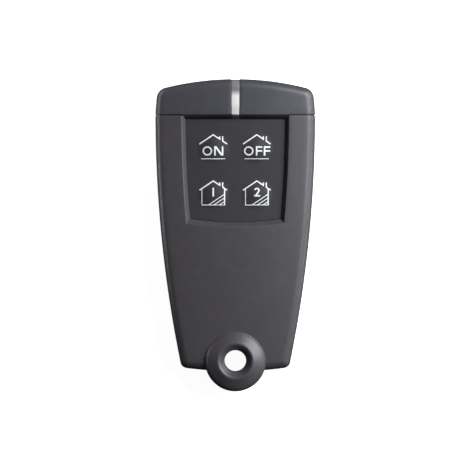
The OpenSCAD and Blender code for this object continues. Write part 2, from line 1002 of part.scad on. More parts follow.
module coin_cell() {
  can_edge = 0.3;
  cap_inset = 1.2;
  cap_r = cell_d / 2 - cap_inset;
  color("silver")
    translate([0, cell_y, cell_low_z])
      rotate_extrude()
        polygon([
          [0, 0],
          [cell_d / 2 - can_edge, 0],
          [cell_d / 2, can_edge],
          [cell_d / 2, cell_t - 2 * can_edge],
          [cap_r, cell_t - can_edge],
          [cap_r - can_edge, cell_t],
          [0, cell_t]
        ]);
}

// Bridge under the coin cell with two legs up to the board
module battery_clip() {
  leg_x = cell_d / 2 + fit_gap;
  low_z = cell_low_z - sheet_t;
  color("silver")
    union() {
      box(
        [-leg_x - sheet_t, cell_y - clip_w / 2, low_z],
        [leg_x + sheet_t, cell_y + clip_w / 2, cell_low_z]
      );
      for (x = [-leg_x - sheet_t, leg_x])
        box([x, cell_y - clip_w / 2, low_z], [x + sheet_t, cell_y + clip_w / 2, board_low_z]);
    }
}

// Contact spring on the board with a raised button on the coin cell
module battery_contact() {
  button_d = 3;
  color("silver")
    union() {
      box(
        [-clip_w / 2, cell_y - clip_w, board_low_z - sheet_t],
        [clip_w / 2, cell_y + clip_w, board_low_z]
      );
      translate([0, cell_y, cell_top_z])
        cylinder(d = button_d, h = cell_room - sheet_t / 2);
    }
}

// Case screw with a cross recess, driven from the rear
module case_screw() {
  slot_w = 0.6;
  slot_share = 0.6;
  slot_l = screw_head_d * slot_share;
  slot_depth = screw_head_h * slot_share;
  head_z = screw_head_sink + screw_head_h;
  color("silver")
    difference() {
      union() {
        at_screw(screw_head_sink)
          cylinder(d = screw_head_d, h = screw_head_h);
        at_screw(head_z - bond)
          cylinder(d = screw_d, h = front_low_z + screw_grip - head_z + bond);
      }
      for (turn = [0, 90])
        at_screw(screw_head_sink - past)
          rotate(turn)
            translate([-slot_l / 2, -slot_w / 2, 0])
              cube([slot_l, slot_w, slot_depth + past]);
    }
}

front_shell();
rear_shell();
end_cap();
light_pipe();
keypad_film();
for (k = [0:len(KEYS) - 1]) {
  key_pad(k);
  legend(k);
  switch_plunger(k);
  switch_base(k);
  switch_cover(k);
  switch_dome(k);
}
circuit_board();
status_led();
radio_chip();
crystal();
chip_capacitors();
chip_resistors();
antenna();
coin_cell();
battery_clip();
battery_contact();
case_screw();
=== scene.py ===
"""Looks of the alarm key fob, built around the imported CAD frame.

Shapes are worked out in millimetres in the frame's own axes; a mesh is scaled to metres when it is made.
"""
import json
import math

import bmesh
import bpy
import numpy as np
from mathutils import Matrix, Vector
from mathutils.geometry import delaunay_2d_cdt
from mathutils.kdtree import KDTree


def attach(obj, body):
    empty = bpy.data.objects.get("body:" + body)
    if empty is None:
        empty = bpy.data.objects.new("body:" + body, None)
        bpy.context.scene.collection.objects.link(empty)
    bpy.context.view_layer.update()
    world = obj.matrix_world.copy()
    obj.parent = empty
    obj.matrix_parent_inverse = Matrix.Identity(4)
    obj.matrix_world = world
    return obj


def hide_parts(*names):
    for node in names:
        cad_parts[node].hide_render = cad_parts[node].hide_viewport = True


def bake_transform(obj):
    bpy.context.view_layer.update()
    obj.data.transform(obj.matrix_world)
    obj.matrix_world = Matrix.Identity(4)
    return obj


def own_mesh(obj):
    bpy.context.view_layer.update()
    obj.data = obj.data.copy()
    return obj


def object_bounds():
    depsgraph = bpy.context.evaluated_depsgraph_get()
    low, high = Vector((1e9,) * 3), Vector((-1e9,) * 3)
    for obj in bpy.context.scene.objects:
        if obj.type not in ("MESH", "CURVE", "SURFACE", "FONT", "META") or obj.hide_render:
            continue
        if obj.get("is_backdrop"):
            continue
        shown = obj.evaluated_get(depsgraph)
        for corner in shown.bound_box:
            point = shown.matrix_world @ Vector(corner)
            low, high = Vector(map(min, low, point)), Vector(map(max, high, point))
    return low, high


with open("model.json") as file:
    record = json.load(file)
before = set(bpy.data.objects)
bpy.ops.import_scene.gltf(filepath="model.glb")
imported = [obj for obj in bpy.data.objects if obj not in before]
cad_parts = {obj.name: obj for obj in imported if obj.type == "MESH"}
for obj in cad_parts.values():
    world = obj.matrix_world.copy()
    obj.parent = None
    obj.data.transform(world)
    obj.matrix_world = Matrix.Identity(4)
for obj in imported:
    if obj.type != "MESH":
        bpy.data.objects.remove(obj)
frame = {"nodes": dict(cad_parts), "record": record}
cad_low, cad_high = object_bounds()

MM = 0.001
FULL_TURN = 2 * math.pi
QUARTER_TURN = math.pi / 2
KEYS = ("on", "off", "one", "two")
# Distance under which two places count as one, and the digits to which a plan is told apart
NEAR = 1e-4
PLAN_DIGITS = 5
TINY = 1e-9
# Reach of a cutter past what it cuts
PAST = 2.0

# Case: the CAD model's sizes, with small changes that follow the photograph
BODY_W = 38.4
BODY_L = 70.2
BODY_T = 12.0
OVERALL_L = 75.0
WALL = 1.5
REAR_WALL = 1.4
EDGE_R = 2.0
SIDE_R = 297.5
FOOT_R = 92.8
FOOT_CORNER_R = 1.7
CROWN_R = 110.0
DROOP_R = 400.0
DROOP_BELOW_SEAM = 17.0
CAP_L = 8.67
HEAD_R = 70.0
HEAD_CORNER_R = 2.6
LEAST_CORNER_R = 0.3
CAP_SIDE_R = 60.0
CAP_SIDE_DROP = 2.6
SEAM_GAP = 0.28
PARTING_GAP = 0.1
FIT_GAP = 0.1

HEAD_Y = OVERALL_L / 2
FOOT_Y = HEAD_Y - BODY_L
SEAM_Y = HEAD_Y - CAP_L
SHELL_END_Y = SEAM_Y - SEAM_GAP / 2
CAP_START_Y = SEAM_Y + SEAM_GAP / 2
DROOP_Y = SEAM_Y - DROOP_BELOW_SEAM
FRONT_LOW_Z = BODY_T / 2 + PARTING_GAP / 2
REAR_TOP_Z = BODY_T / 2 - PARTING_GAP / 2

# Ring eye
EYE_RISE = 2.5
EYE_R = 7.3
EYE_HOLE_R = 2.6
EYE_CREST_R = 4.06
EYE_CREST_Z = 11.95
EYE_CREST_SOFT = 0.6
EYE_OUT_SLOPE = 0.44
EYE_OUT_BEND = 0.025
EYE_IN_SLOPE = 0.84
EYE_EDGE_R = 0.9
EYE_HOLE_SOFT = 0.15
EYE_REAR_ROUND = 0.8
EYE_C = (0.0, FOOT_Y + EYE_RISE)
# Softness of the crease between eye and case, at the sides and towards the head
EYE_BLEND_SIDE = 0.02
EYE_BLEND_TOP = 0.25
# Sine of the direction from the eye at which that changes, and the range that it takes
EYE_BLEND_START = 0.55
EYE_BLEND_RANGE = 0.4

# Keypad recess and the cap's lip
FLOOR_Z = 10.3
FILM_T = 0.4
PLATE_T = 1.0
PLATE_TOP_Z = FLOOR_Z - FILM_T
PLATE_LOW_Z = PLATE_TOP_Z - PLATE_T
# Crown of the sheet across, about the height of a flat one
SHEET_RISE = 0.24
SHEET_CROWN_R = 185.0
KEY_LOW_Z = 8.4
KEY_AT = ((-5.23, 21.28), (5.23, 21.28), (-5.23, 10.2), (5.23, 10.2))
KEY_W = 8.6
KEY_CORNER_R = 1.0
KEY_GAP = 0.1
RECESS_WALL_W = 1.18
SIDE_WALL_W = 0.92
FLOOR_INSET = 7.25
RECESS_END_R = 70.0
RECESS_END_C = (0.0, 71.92)
LIP_BELOW_SEAM = 0.98
LIP_EDGE_T = 0.07
LIP_FADE = 0.2
LIP_FOOT_Y = SEAM_Y - LIP_BELOW_SEAM
LIP_W = CAP_START_Y - LIP_FOOT_Y
LIP_FOOT_HALF = BODY_W / 2 - FLOOR_INSET - FIT_GAP / 2
LIP_HALF = LIP_FOOT_HALF + SIDE_WALL_W
LIP_LOW_Z = PLATE_TOP_Z + FIT_GAP / 2
LIP_FOOT_Z = LIP_LOW_Z + LIP_EDGE_T
# Edge of the plate that the film lies on, outside the recess floor
FILM_EDGE = -0.01

# Light pipe
PIPE_W_HEAD = 2.0
PIPE_W_SEAM = 1.8
PIPE_LOW_Z = 5.0
PIPE_GAP = 0.05
PIPE_DEPTH = WALL - PIPE_GAP
PIPE_END_INSET = 0.12
PIPE_END_Y = HEAD_Y - PIPE_END_INSET
PIPE_FOOT_L = 2.0
PIPE_ROOM = 0.5
LAMP_Y = 31.35
LAMP_TOP_Z = 7.4
SLOT_LOW_Z = PIPE_LOW_Z - PIPE_GAP

# Screw
SCREW_C = (0.0, -19.3)
BOSS_R = 2.8
SCREW_D = 2.0
SCREW_HEAD_R = 1.9
SCREW_HEAD_TOP_Z = 1.8
PILOT_L = 3.2

# Softness of the moulded edges
SEAM_SOFT = 0.12
PARTING_SOFT = 0.12
RIM_SOFT = 0.14
LIP_SOFT = 0.06
SLOT_SOFT = 0.1
SHARP_ANGLE = math.radians(32)

# Points across an edge at the seam, a soft rim (as shares of its softness) and a case edge's roll
EDGE_STEPS = (0.0, 0.01, 0.028, 0.055, 0.085, 0.12)
KNEE = (-1.0, -0.6, -0.25, 0.0, 0.25, 0.6, 1.0)
ROLL = [EDGE_R * (1 - math.cos(a)) for a in np.linspace(0, QUARTER_TURN, 11)]

# Steps along the curves of the meshes
SHELL_SIDE_STEPS = 75
FOOT_CORNER_STEPS = 14
FOOT_STEPS = 30
CAP_SIDE_STEPS = 9
HEAD_CORNER_STEPS = 16
HEAD_STEPS = 39
RECESS_SIDE_STEPS = 49
RECESS_END_STEPS = 26
KEY_CORNER_STEPS = 6
SEAM_STEPS = 48
EYE_STEPS = 96
EYE_WALL_STEPS = 89
EYE_RING_STEPS = 180
CREASE_COUNT = 150
DISC_SIDES = 64
BISECTIONS = 50

# Spacing of the points inside a skin, and the room that they keep from its lines
SKIN_PITCH = 1.0
SLAB_PITCH = 3.0
GRID_ROW = 0.87
POINT_ROOM = 0.45
EDGE_ROOM = 0.3
EYE_ROOM = 1.2
ROLL_ROOM = 0.7
SLOT_ROOM = 0.15


# Plan geometry

def crossing(c0, r0, c1, r1):
    """Crossing of two circles, on the left of the line from the first centre to the second."""
    c0, c1 = np.array(c0), np.array(c1)
    d = c1 - c0
    l = np.hypot(*d)
    a = (r0 * r0 - r1 * r1 + l * l) / (2 * l)
    h = math.sqrt(max(0.0, r0 * r0 - a * a))
    return c0 + d * a / l + np.array((-d[1], d[0])) * h / l


def bearing(a, b):
    return math.atan2(b[1] - a[1], b[0] - a[0])


def arc(c, r, a0, a1, n):
    """Points of an arc, its two ends included."""
    return [(c[0] + r * math.cos(a), c[1] + r * math.sin(a)) for a in np.linspace(a0, a1, n + 1)]


def circle(c, r, n):
    """Points of a whole circle, each once."""
    return arc(c, r, 0, FULL_TURN, n)[:-1]


def circle_x(c, r, y):
    """Right-hand side of a circle at a height of the plan."""
    return c[0] + math.sqrt(r**2 - (y - c[1]) ** 2)


def box_plan(low, high):
    return [low, (high[0], low[1]), high, (low[0], high[1])]


def fillet(s, r):
    """Fall of a rounded edge of radius r at a distance s from where it ends."""
    t = np.clip(r - s, 0.0, r)
    return r - np.sqrt(r * r - t * t)


SIDE_C = (BODY_W / 2 - SIDE_R, SEAM_Y)
FOOT_C = (0.0, FOOT_Y + FOOT_R)
HEAD_C = (0.0, HEAD_Y - HEAD_R)
CAP_C = (BODY_W / 2 - math.sqrt(CAP_SIDE_R**2 - CAP_SIDE_DROP**2), SEAM_Y - CAP_SIDE_DROP)
# Each end of the outline: two circles (centre, radius) and the radius of the corner between them
FOOT_END = ((FOOT_C, FOOT_R), (SIDE_C, SIDE_R), FOOT_CORNER_R)
HEAD_END = ((CAP_C, CAP_SIDE_R), (HEAD_C, HEAD_R), HEAD_CORNER_R)


def corner(end, inset=0.0):
    """Centre, radius and two bearings of the corner at one end of the outline, drawn in."""
    (ca, ra), (cb, rb), r = end
    r = max(r - inset, LEAST_CORNER_R)
    f = crossing(ca, ra - inset - r, cb, rb - inset - r)
    return f, r, bearing(ca, f), bearing(cb, f)


FOOT_CORNER, HEAD_CORNER = corner(FOOT_END), corner(HEAD_END)


def mirrored(half):
    """A chain from its right half, whose last point is put on the axis."""
    half[-1] = (0.0, half[-1][1])
    return half + [(-x, y) for x, y in reversed(half[:-1])]


def side_points(c, r, seam_y, corner_y, steps, soft):
    """Points of the right side from the seam to a corner, drawn in at the seam's rounded edge."""
    way = math.copysign(1.0, corner_y - seam_y)
    ys = [seam_y + way * s for s in EDGE_STEPS]
    ys += list(np.linspace(ys[-1], corner_y, steps + 1)[1:])
    return [(circle_x(c, r - float(fillet(abs(y - seam_y), soft)), y), y) for y in ys]


def shell_chain(inset, soft=SEAM_SOFT):
    """Outline of the case below the seam, from the seam on the right round the foot to the left."""
    f, r, a_foot, a_side = corner(FOOT_END, inset)
    corner_y = f[1] + r * math.sin(a_side)
    half = side_points(SIDE_C, SIDE_R - inset, SHELL_END_Y, corner_y, SHELL_SIDE_STEPS, soft)
    half += arc(f, r, a_side, a_foot, FOOT_CORNER_STEPS)[1:]
    half += arc(FOOT_C, FOOT_R - inset, a_foot, -QUARTER_TURN, FOOT_STEPS)[1:]
    return mirrored(half)


def cap_chain(inset, extra_x=(), soft=SEAM_SOFT):
    """Outline of the case above the seam, from the seam on the right round the head to the left."""
    f, r, a_cap, a_head = corner(HEAD_END, inset)
    corner_y = f[1] + r * math.sin(a_cap)
    half = side_points(CAP_C, CAP_SIDE_R - inset, CAP_START_Y, corner_y, CAP_SIDE_STEPS, soft)
    half += arc(f, r, a_cap, a_head, HEAD_CORNER_STEPS)[1:]
    xs = [*np.linspace(half[-1][0], 0.0, HEAD_STEPS + 1)[1:-1]]
    xs = [x for x in xs if all(abs(x - q) > SLOT_ROOM for q in extra_x)] + list(extra_x)
    half += [(x, HEAD_C[1] + math.sqrt((HEAD_R - inset) ** 2 - x * x)) for x in sorted(xs, reverse=True)]
    return mirrored(half + [(0.0, HEAD_Y - inset)])


def end_d(x, y, end, rounding):
    """Distance inside the outline at one end of the case, with its rounded corner."""
    x = np.abs(x)
    (ca, ra), (cb, rb), _ = end
    d = np.minimum(ra - np.hypot(x - ca[0], y - ca[1]), rb - np.hypot(x - cb[0], y - cb[1]))
    f, r, a0, a1 = rounding
    angle = np.arctan2(y - f[1], x - f[0])
    inside = (angle >= min(a0, a1)) & (angle <= max(a0, a1))
    return np.where(inside, r - np.hypot(x - f[0], y - f[1]), d)


def shell_d(x, y):
    """Distance inside the outline below the seam."""
    return end_d(x, y, FOOT_END, FOOT_CORNER)


def cap_d(x, y):
    """Distance inside the outline above the seam."""
    return end_d(x, y, HEAD_END, HEAD_CORNER)


def eye_radius(x, y):
    return np.hypot(x, y - EYE_C[1])


def union_d(x, y):
    """Distance inside the lower case and its ring eye together."""
    return np.maximum(shell_d(x, y), EYE_R - eye_radius(x, y))


def recess_s(x, y):
    """Distance outside the recess floor at its lower end, and the same share of the wall at its sides."""
    x = np.abs(x)
    side = np.hypot(x - SIDE_C[0], y - SIDE_C[1]) - (SIDE_R - FLOOR_INSET)
    end = np.where(y < RECESS_END_C[1], np.hypot(x, y - RECESS_END_C[1]), 0.0)
    return np.maximum(side * RECESS_WALL_W / SIDE_WALL_W, end - (RECESS_END_R - RECESS_WALL_W))


def recess_chain(grow, high_y, foot=0.0):
    """Outline of the recess at a distance outside its floor, from the right at high_y round to the left.

    Its lower end is drawn in by the distance foot.
    """
    r_side = SIDE_R - FLOOR_INSET + grow * SIDE_WALL_W / RECESS_WALL_W
    r_end = RECESS_END_R - RECESS_WALL_W + grow - foot
    low = crossing(RECESS_END_C, r_end, SIDE_C, r_side)
    half = [(circle_x(SIDE_C, r_side, y), y) for y in np.linspace(high_y, low[1], RECESS_SIDE_STEPS + 1)]
    half += arc(RECESS_END_C, r_end, bearing(RECESS_END_C, low), -QUARTER_TURN, RECESS_END_STEPS)[1:]
    return mirrored(half)


def key_plan(k, grow):
    """Outline of a key's block."""
    x, y = KEY_AT[k]
    h, r = KEY_W / 2 - KEY_CORNER_R, KEY_CORNER_R + grow
    plan = []
    for i, (sx, sy) in enumerate(((1, 1), (-1, 1), (-1, -1), (1, -1))):
        a = i * QUARTER_TURN
        plan += arc((x + sx * h, y + sy * h), r, a, a + QUARTER_TURN, KEY_CORNER_STEPS)
    return plan


# Heights

def crown(x, y):
    """Front of the case without its edges."""
    return BODY_T - x * x / (2 * CROWN_R) - np.maximum(0.0, DROOP_Y - y) ** 2 / (2 * DROOP_R)


def sheet_z(x):
    """Top of the keypad sheet between its keys."""
    return FLOOR_Z + SHEET_RISE - x * x / (2 * SHEET_CROWN_R)


def smooth_max(a, b, k):
    h = np.maximum(k - np.abs(a - b), 0.0) / k
    return np.maximum(a, b) + h * h * k / 4


def eye_height(r):
    """Front of the ring eye over the distance from its axis: a full flank, a cone inside and a soft crest."""
    past = r - EYE_CREST_R
    out = EYE_OUT_SLOPE * past + EYE_OUT_BEND * np.maximum(past, 0.0) ** 2
    into = -EYE_IN_SLOPE * past
    edges = fillet(EYE_R - r, EYE_EDGE_R) + fillet(r - EYE_HOLE_R, EYE_HOLE_SOFT)
    return EYE_CREST_Z - smooth_max(out, into, EYE_CREST_SOFT) - edges


def rim_share(s, width, soft):
    """Share of a sloped wall's height over the distance from its foot, with a rounded rim."""
    knee = np.clip((s - width + soft) / (2 * soft), 0.0, 1.0)
    return (np.clip(s, 0.0, width - soft) + 2 * soft * (knee - knee * knee / 2)) / width


def step(t):
    t = np.clip(t, 0.0, 1.0)
    return t * t * (3 - 2 * t)


def edge_fall(d, e):
    """Fall of a face at a distance inside the outline, where a softened end has already fallen by e."""
    return e + fillet(d - e, EDGE_R)


def shell_fall(x, y):
    """Fall of the lower case's faces towards its edges, without the eye."""
    return edge_fall(shell_d(x, y), fillet(SHELL_END_Y - y, SEAM_SOFT))


def body_height(x, y):
    """Front of the lower case without its eye and recess."""
    return crown(x, y) - shell_fall(x, y)


def front_height(x, y):
    """Front of the lower case."""
    body = np.where(shell_d(x, y) < -NEAR, 0.0, body_height(x, y))
    r = eye_radius(x, y)
    eye = np.where(r > EYE_R + NEAR, 0.0, eye_height(r))
    upward = step(((y - EYE_C[1]) / np.maximum(r, TINY) - EYE_BLEND_START) / EYE_BLEND_RANGE)
    k = EYE_BLEND_SIDE + (EYE_BLEND_TOP - EYE_BLEND_SIDE) * upward
    z = np.where(r < EYE_CREST_R, eye, smooth_max(body, eye, k))
    s = recess_s(x, y)
    foot = sheet_z(x)
    z = np.where(y > 0, foot + rim_share(s, RECESS_WALL_W, RIM_SOFT) * (z - foot), z)
    return np.where((s < FILM_EDGE / 2) & (y > 0), PLATE_TOP_Z, z)


def rear_eye(r):
    return fillet(EYE_R - r, EYE_REAR_ROUND)


def rear_height(x, y):
    """Rear of the lower case."""
    r = eye_radius(x, y)
    body = np.where(shell_d(x, y) < -NEAR, BODY_T, shell_fall(x, y))
    eye = np.where(r > EYE_R + NEAR, BODY_T, rear_eye(r))
    return np.maximum(np.minimum(body, eye), fillet(r - EYE_HOLE_R, EYE_REAR_ROUND))


def slot_half(y):
    """Half the width of the slot for the light pipe."""
    t = np.clip((y - SEAM_Y) / CAP_L, 0.0, 1.0)
    return (PIPE_W_SEAM + t * (PIPE_W_HEAD - PIPE_W_SEAM)) / 2 + PIPE_GAP


def cap_top(x, y):
    """Front of the end cap, with the lip that slopes down to the keypad."""
    beside_lip = np.clip((np.abs(x) - LIP_HALF) / LIP_FADE, 0.0, 1.0)
    e = beside_lip * fillet(y - CAP_START_Y, SEAM_SOFT) + fillet(np.abs(x) - slot_half(y), SLOT_SOFT)
    z = crown(x, y) - edge_fall(cap_d(x, y), e)
    short = (1 - rim_share(y - LIP_FOOT_Y, LIP_W, LIP_SOFT)) * (1 - beside_lip)
    return z - short * (z - LIP_FOOT_Z)


def cap_rear(x, y):
    """Rear of the end cap."""
    return edge_fall(cap_d(x, y), fillet(y - CAP_START_Y, SEAM_SOFT))


# Meshes

def plan_key(p):
    return tuple(round(float(c), PLAN_DIGITS) for c in p[:2])


def turn(plan):
    """Twice the area of a closed plan, below zero where it runs clockwise."""
    p = np.array(plan)
    q = np.roll(p, -1, axis=0)
    return float((p[:, 0] * q[:, 1] - p[:, 1] * q[:, 0]).sum())


def anticlockwise(plan):
    return list(plan) if turn(plan) > 0 else list(reversed(plan))


def triangulate(loops, lines=(), points=()):
    """Triangles of a plan inside its first loop and outside the others, with lines kept as edges."""
    index, verts, edges = {}, [], []

    def put(p):
        key = plan_key(p)
        if key not in index:
            index[key] = len(verts)
            verts.append((float(p[0]), float(p[1])))
        return index[key]

    faces = [[put(p) for p in anticlockwise(loop)] for loop in loops]
    for line in lines:
        ids = [put(p) for p in line]
        edges += [(a, b) for a, b in zip(ids, ids[1:]) if a != b]
    tree = KDTree(len(verts))
    for i, p in enumerate(verts):
        tree.insert((p[0], p[1], 0.0), i)
    tree.balance()
    for p in points:
        if tree.find((p[0], p[1], 0.0))[2] > POINT_ROOM:
            put(p)
    out = delaunay_2d_cdt([Vector(p) for p in verts], edges, faces, 0, NEAR / 10)
    xy = np.array([verts[min(known)] if known else tuple(v) for v, known in zip(out[0], out[3])])
    tri = np.array([f for f, source in zip(out[2], out[5]) if list(source) == [0]])
    a, b, c = xy[tri[:, 0]], xy[tri[:, 1]], xy[tri[:, 2]]
    area = (b[:, 0] - a[:, 0]) * (c[:, 1] - a[:, 1]) - (b[:, 1] - a[:, 1]) * (c[:, 0] - a[:, 0])
    tri[area < 0] = tri[area < 0][:, ::-1]
    used, tri = np.unique(tri, return_inverse=True)
    return xy[used], tri.reshape(-1, 3)


def grid(plan, pitch):
    """Staggered points over a plan's box."""
    (x0, y0), (x1, y1) = np.min(plan, axis=0), np.max(plan, axis=0)
    return [
        (x + (pitch / 2 if j % 2 else 0.0), y)
        for j, y in enumerate(np.arange(y0 + pitch / 3, y1, pitch * GRID_ROW))
        for x in np.arange(x0 + pitch / 3, x1, pitch)
    ]


def loops_of(tri):
    """Boundary loops of a triangulation, each with its surface on the left, the longest first."""
    edges = {(a, b) for t in tri for a, b in ((t[0], t[1]), (t[1], t[2]), (t[2], t[0]))}
    follow = {a: b for a, b in edges if (b, a) not in edges}
    loops = []
    while follow:
        start, at = next(iter(follow.items()))
        loop = [start]
        del follow[start]
        while at != start:
            loop.append(at)
            at = follow.pop(at)
        loops.append(loop)
    return sorted(loops, key=len, reverse=True)


def z_at(z, x, y):
    """A height that is given as a number or as a function of the place."""
    return z(x, y) if callable(z) else z


class Solid:
    """Vertices and faces of a closed mesh in the making."""

    def __init__(self):
        self.verts, self.faces = [], []

    def add(self, points):
        base = len(self.verts)
        self.verts += [tuple(float(c) for c in p) for p in points]
        return list(range(base, len(self.verts)))

    def ring(self, plan, z):
        return self.add([(x, y, z_at(z, x, y)) for x, y in plan])

    def cover(self, ids, tri, down):
        self.faces += [tuple(ids[i] for i in (t[::-1] if down else t)) for t in tri]

    def skin(self, xy, tri, z, down=False):
        ids = self.add(np.column_stack((xy, z)))
        self.cover(ids, tri, down)
        return ids

    def wall(self, columns, flip=False, closed=True):
        """Faces between neighbouring columns, whose lists run away from the skin that they bound."""
        for a, b in zip(columns, columns[1:] + (columns[:1] if closed else [])):
            for i in range(len(a) - 1):
                quad = (b[i], a[i], a[i + 1], b[i + 1])
                self.faces.append(quad[::-1] if flip else quad)

    def band(self, upper, lower, closed=True):
        """Wall from the ring round a skin to another ring."""
        self.wall([list(c) for c in zip(upper, lower)], closed=closed)

    def tube(self, rings):
        """Faces from ring to ring, with both ends closed."""
        for a, b in zip(rings, rings[1:]):
            self.faces += [(a[j - 1], a[j], b[j], b[j - 1]) for j in range(len(a))]
        self.faces += [tuple(reversed(rings[0])), tuple(rings[-1])]

    def close(self, loops, down=False, z=None, points=()):
        """Cover what lies inside the first of these loops of vertices and outside the others."""
        known = {plan_key(self.verts[i]): i for loop in loops for i in loop}
        xy, tri = triangulate([[self.verts[i][:2] for i in loop] for loop in loops], (), points)
        for p in xy:
            if plan_key(p) not in known:
                known[plan_key(p)] = self.add([(*p, z_at(z, *p))])[0]
        self.cover([known[plan_key(p)] for p in xy], tri, down)

    def object(self, name):
        mesh = bpy.data.meshes.new(name)
        mesh.from_pydata([tuple(c * MM for c in v) for v in self.verts], [], [tuple(f) for f in self.faces])
        mesh.update()
        obj = bpy.data.objects.new(name, mesh)
        bpy.context.scene.collection.objects.link(obj)
        return obj


def slab(name, plan, low, top):
    """Closed solid on a plan, between an underside and a top."""
    s = Solid()
    plan = anticlockwise(plan)
    lower, upper = s.ring(plan, low), s.ring(plan, top)
    s.band(upper, lower)
    s.close([upper], False, top, grid(plan, SLAB_PITCH))
    s.close([lower], True, low, grid(plan, SLAB_PITCH))
    return s.object(name)


def prism(name, plan, low, high):
    """Closed solid on a plan, between two heights."""
    s = Solid()
    plan = anticlockwise(plan)
    s.tube([s.ring(plan, low), s.ring(plan, high)])
    return s.object(name)


def disc(name, c, r, low, high):
    return prism(name, circle(c, r, DISC_SIDES), low, high)


def block(name, half, ys, zs):
    """Block across the axis of the plan."""
    return prism(name, box_plan((-half, ys[0]), (half, ys[1])), *zs)


def combine(obj, operation, *others):
    """Boolean of closed meshes; the other ones are used up."""
    for other in others:
        mod = obj.modifiers.new("cut", "BOOLEAN")
        mod.operation = operation
        mod.solver = "MANIFOLD"
        mod.object = other
        bpy.context.view_layer.update()
        evaluated = obj.evaluated_get(bpy.context.evaluated_depsgraph_get())
        mesh = bpy.data.meshes.new_from_object(evaluated)
        obj.modifiers.clear()
        old, used = obj.data, other.data
        obj.data = mesh
        bpy.data.meshes.remove(old)
        bpy.data.objects.remove(other)
        bpy.data.meshes.remove(used)
    return obj


def cut(obj, *others):
    return combine(obj, "DIFFERENCE", *others)


def join(obj, *others):
    return combine(obj, "UNION", *others)


def weld(obj):
    """Join points that cuts through a corner have left on one place."""
    bm = bmesh.new()
    bm.from_mesh(obj.data)
    bmesh.ops.remove_doubles(bm, verts=bm.verts, dist=NEAR * MM)
    bm.to_mesh(obj.data)
    bm.free()
    return obj


def soften(obj):
    obj.data.shade_smooth()
    obj.data.set_sharp_from_angle(angle=SHARP_ANGLE)
    return obj


# Lower case

def polar(r, a):
    return (EYE_C[0] + r * math.cos(a), EYE_C[1] + r * math.sin(a))


def turning_point(low, high, holds):
    """Place between two limits at which a test stops holding."""
    for _ in range(BISECTIONS):
        middle = (low + high) / 2
        low, high = (middle, high) if holds(middle) else (low, middle)
    return high


def crease_radius(theta, body, eye):
    """Distance from the eye's axis at which the case comes out of the eye, in a direction from that axis."""

    def in_eye(r):
        p = polar(r, theta)
        return shell_d(*p) < 0 or body(*p) <= eye(r)

    return turning_point(EYE_CREST_R, EYE_R, in_eye)


# Direction from the eye's axis in which its outer wall leaves the foot of the case, on the right
EYE_CORNER = turning_point(-QUARTER_TURN, 0.0, lambda a: shell_d(*polar(EYE_R, a)) < 0)
# Radii of the rings of points on the eye, on its crest, outside and inside of it and on its rear edges
EYE_CREST_HALF = 0.42
EYE_CREST = [EYE_CREST_R + o for o in np.linspace(-EYE_CREST_HALF, EYE_CREST_HALF, 11)]
EYE_OUT = list(np.linspace(EYE_CREST[-1], EYE_R - EYE_EDGE_R, 6)[1:])
EYE_OUT += [EYE_R - EYE_EDGE_R * (1 - math.sin(a)) for a in np.linspace(0, QUARTER_TURN, 10)[1:-1]]
EYE_IN = [EYE_HOLE_R + o for o in (0.015, 0.045, 0.09, EYE_HOLE_SOFT, 0.5, 0.85)] + EYE_CREST
EYE_REAR = [EYE_REAR_ROUND * (1 - math.cos(a)) for a in np.linspace(0, QUARTER_TURN, 7)[1:]]
CREASE_STEPS = (-0.55, -0.4, -0.27, -0.17, -0.09, -0.04, -0.014, 0.0, 0.015, 0.06, 0.13, 0.22, 0.35, 0.55)
CREASE_ROOM = 0.05


def pieces_where(line, keep):
    """The stretches of a line whose points pass a test."""
    parts, part = [], []
    for p in line:
        if keep(p):
            part.append(p)
        elif part:
            parts.append(part)
            part = []
    parts.append(part)
    return [part for part in parts if len(part) > 1]


def eye_lines(body, eye, rings):
    """Lines of the ring eye in plan and of its crease with the case, and a test for points past that."""
    angles = np.linspace(EYE_CORNER, math.pi - EYE_CORNER, CREASE_COUNT)
    crease = [crease_radius(a, body, eye) for a in angles]
    crease[0] = crease[-1] = EYE_R

    def beyond(p):
        """Distance from the crease outwards, or None where the eye stands free."""
        a = bearing(EYE_C, p)
        a += FULL_TURN if a < -QUARTER_TURN else 0.0
        free = not EYE_CORNER <= a <= math.pi - EYE_CORNER
        return None if free else eye_radius(*p) - float(np.interp(a, angles, crease))

    def clear_in(p):
        d = beyond(p)
        return d is None or d < CREASE_STEPS[0] - CREASE_ROOM

    def clear_out(p):
        d = beyond(p)
        return d is not None and d > CREASE_STEPS[-1] + CREASE_ROOM

    lines = []
    for o in CREASE_STEPS:
        line = [polar(r + o, a) for a, r in zip(angles, crease)]
        lines += pieces_where(line, lambda p: union_d(*p) > -NEAR)
    for r in rings:
        ring = arc(EYE_C, r, -QUARTER_TURN, FULL_TURN - QUARTER_TURN, EYE_RING_STEPS)
        lines += pieces_where(ring, clear_in)
    return lines, clear_out


def shell_loops():
    """Outline of the lower case with its eye, and the eye's hole."""
    right = [p for p in shell_chain(0.0) if p[0] > 0 and eye_radius(*p) > EYE_R + CREASE_ROOM]
    near_x = polar(EYE_R + CREASE_ROOM / 2, EYE_CORNER)[0]
    right += [(near_x, FOOT_C[1] - math.sqrt(FOOT_R**2 - near_x**2)), polar(EYE_R, EYE_CORNER)]
    ring = arc(EYE_C, EYE_R, EYE_CORNER, -math.pi - EYE_CORNER, EYE_WALL_STEPS)[1:-1]
    left = [(-x, y) for x, y in reversed(right)]
    seam = [(x, SHELL_END_Y) for x in np.linspace(left[-1][0], right[0][0], SEAM_STEPS + 1)[1:-1]]
    return [right + ring + left + seam, circle(EYE_C, EYE_HOLE_R, EYE_STEPS)]


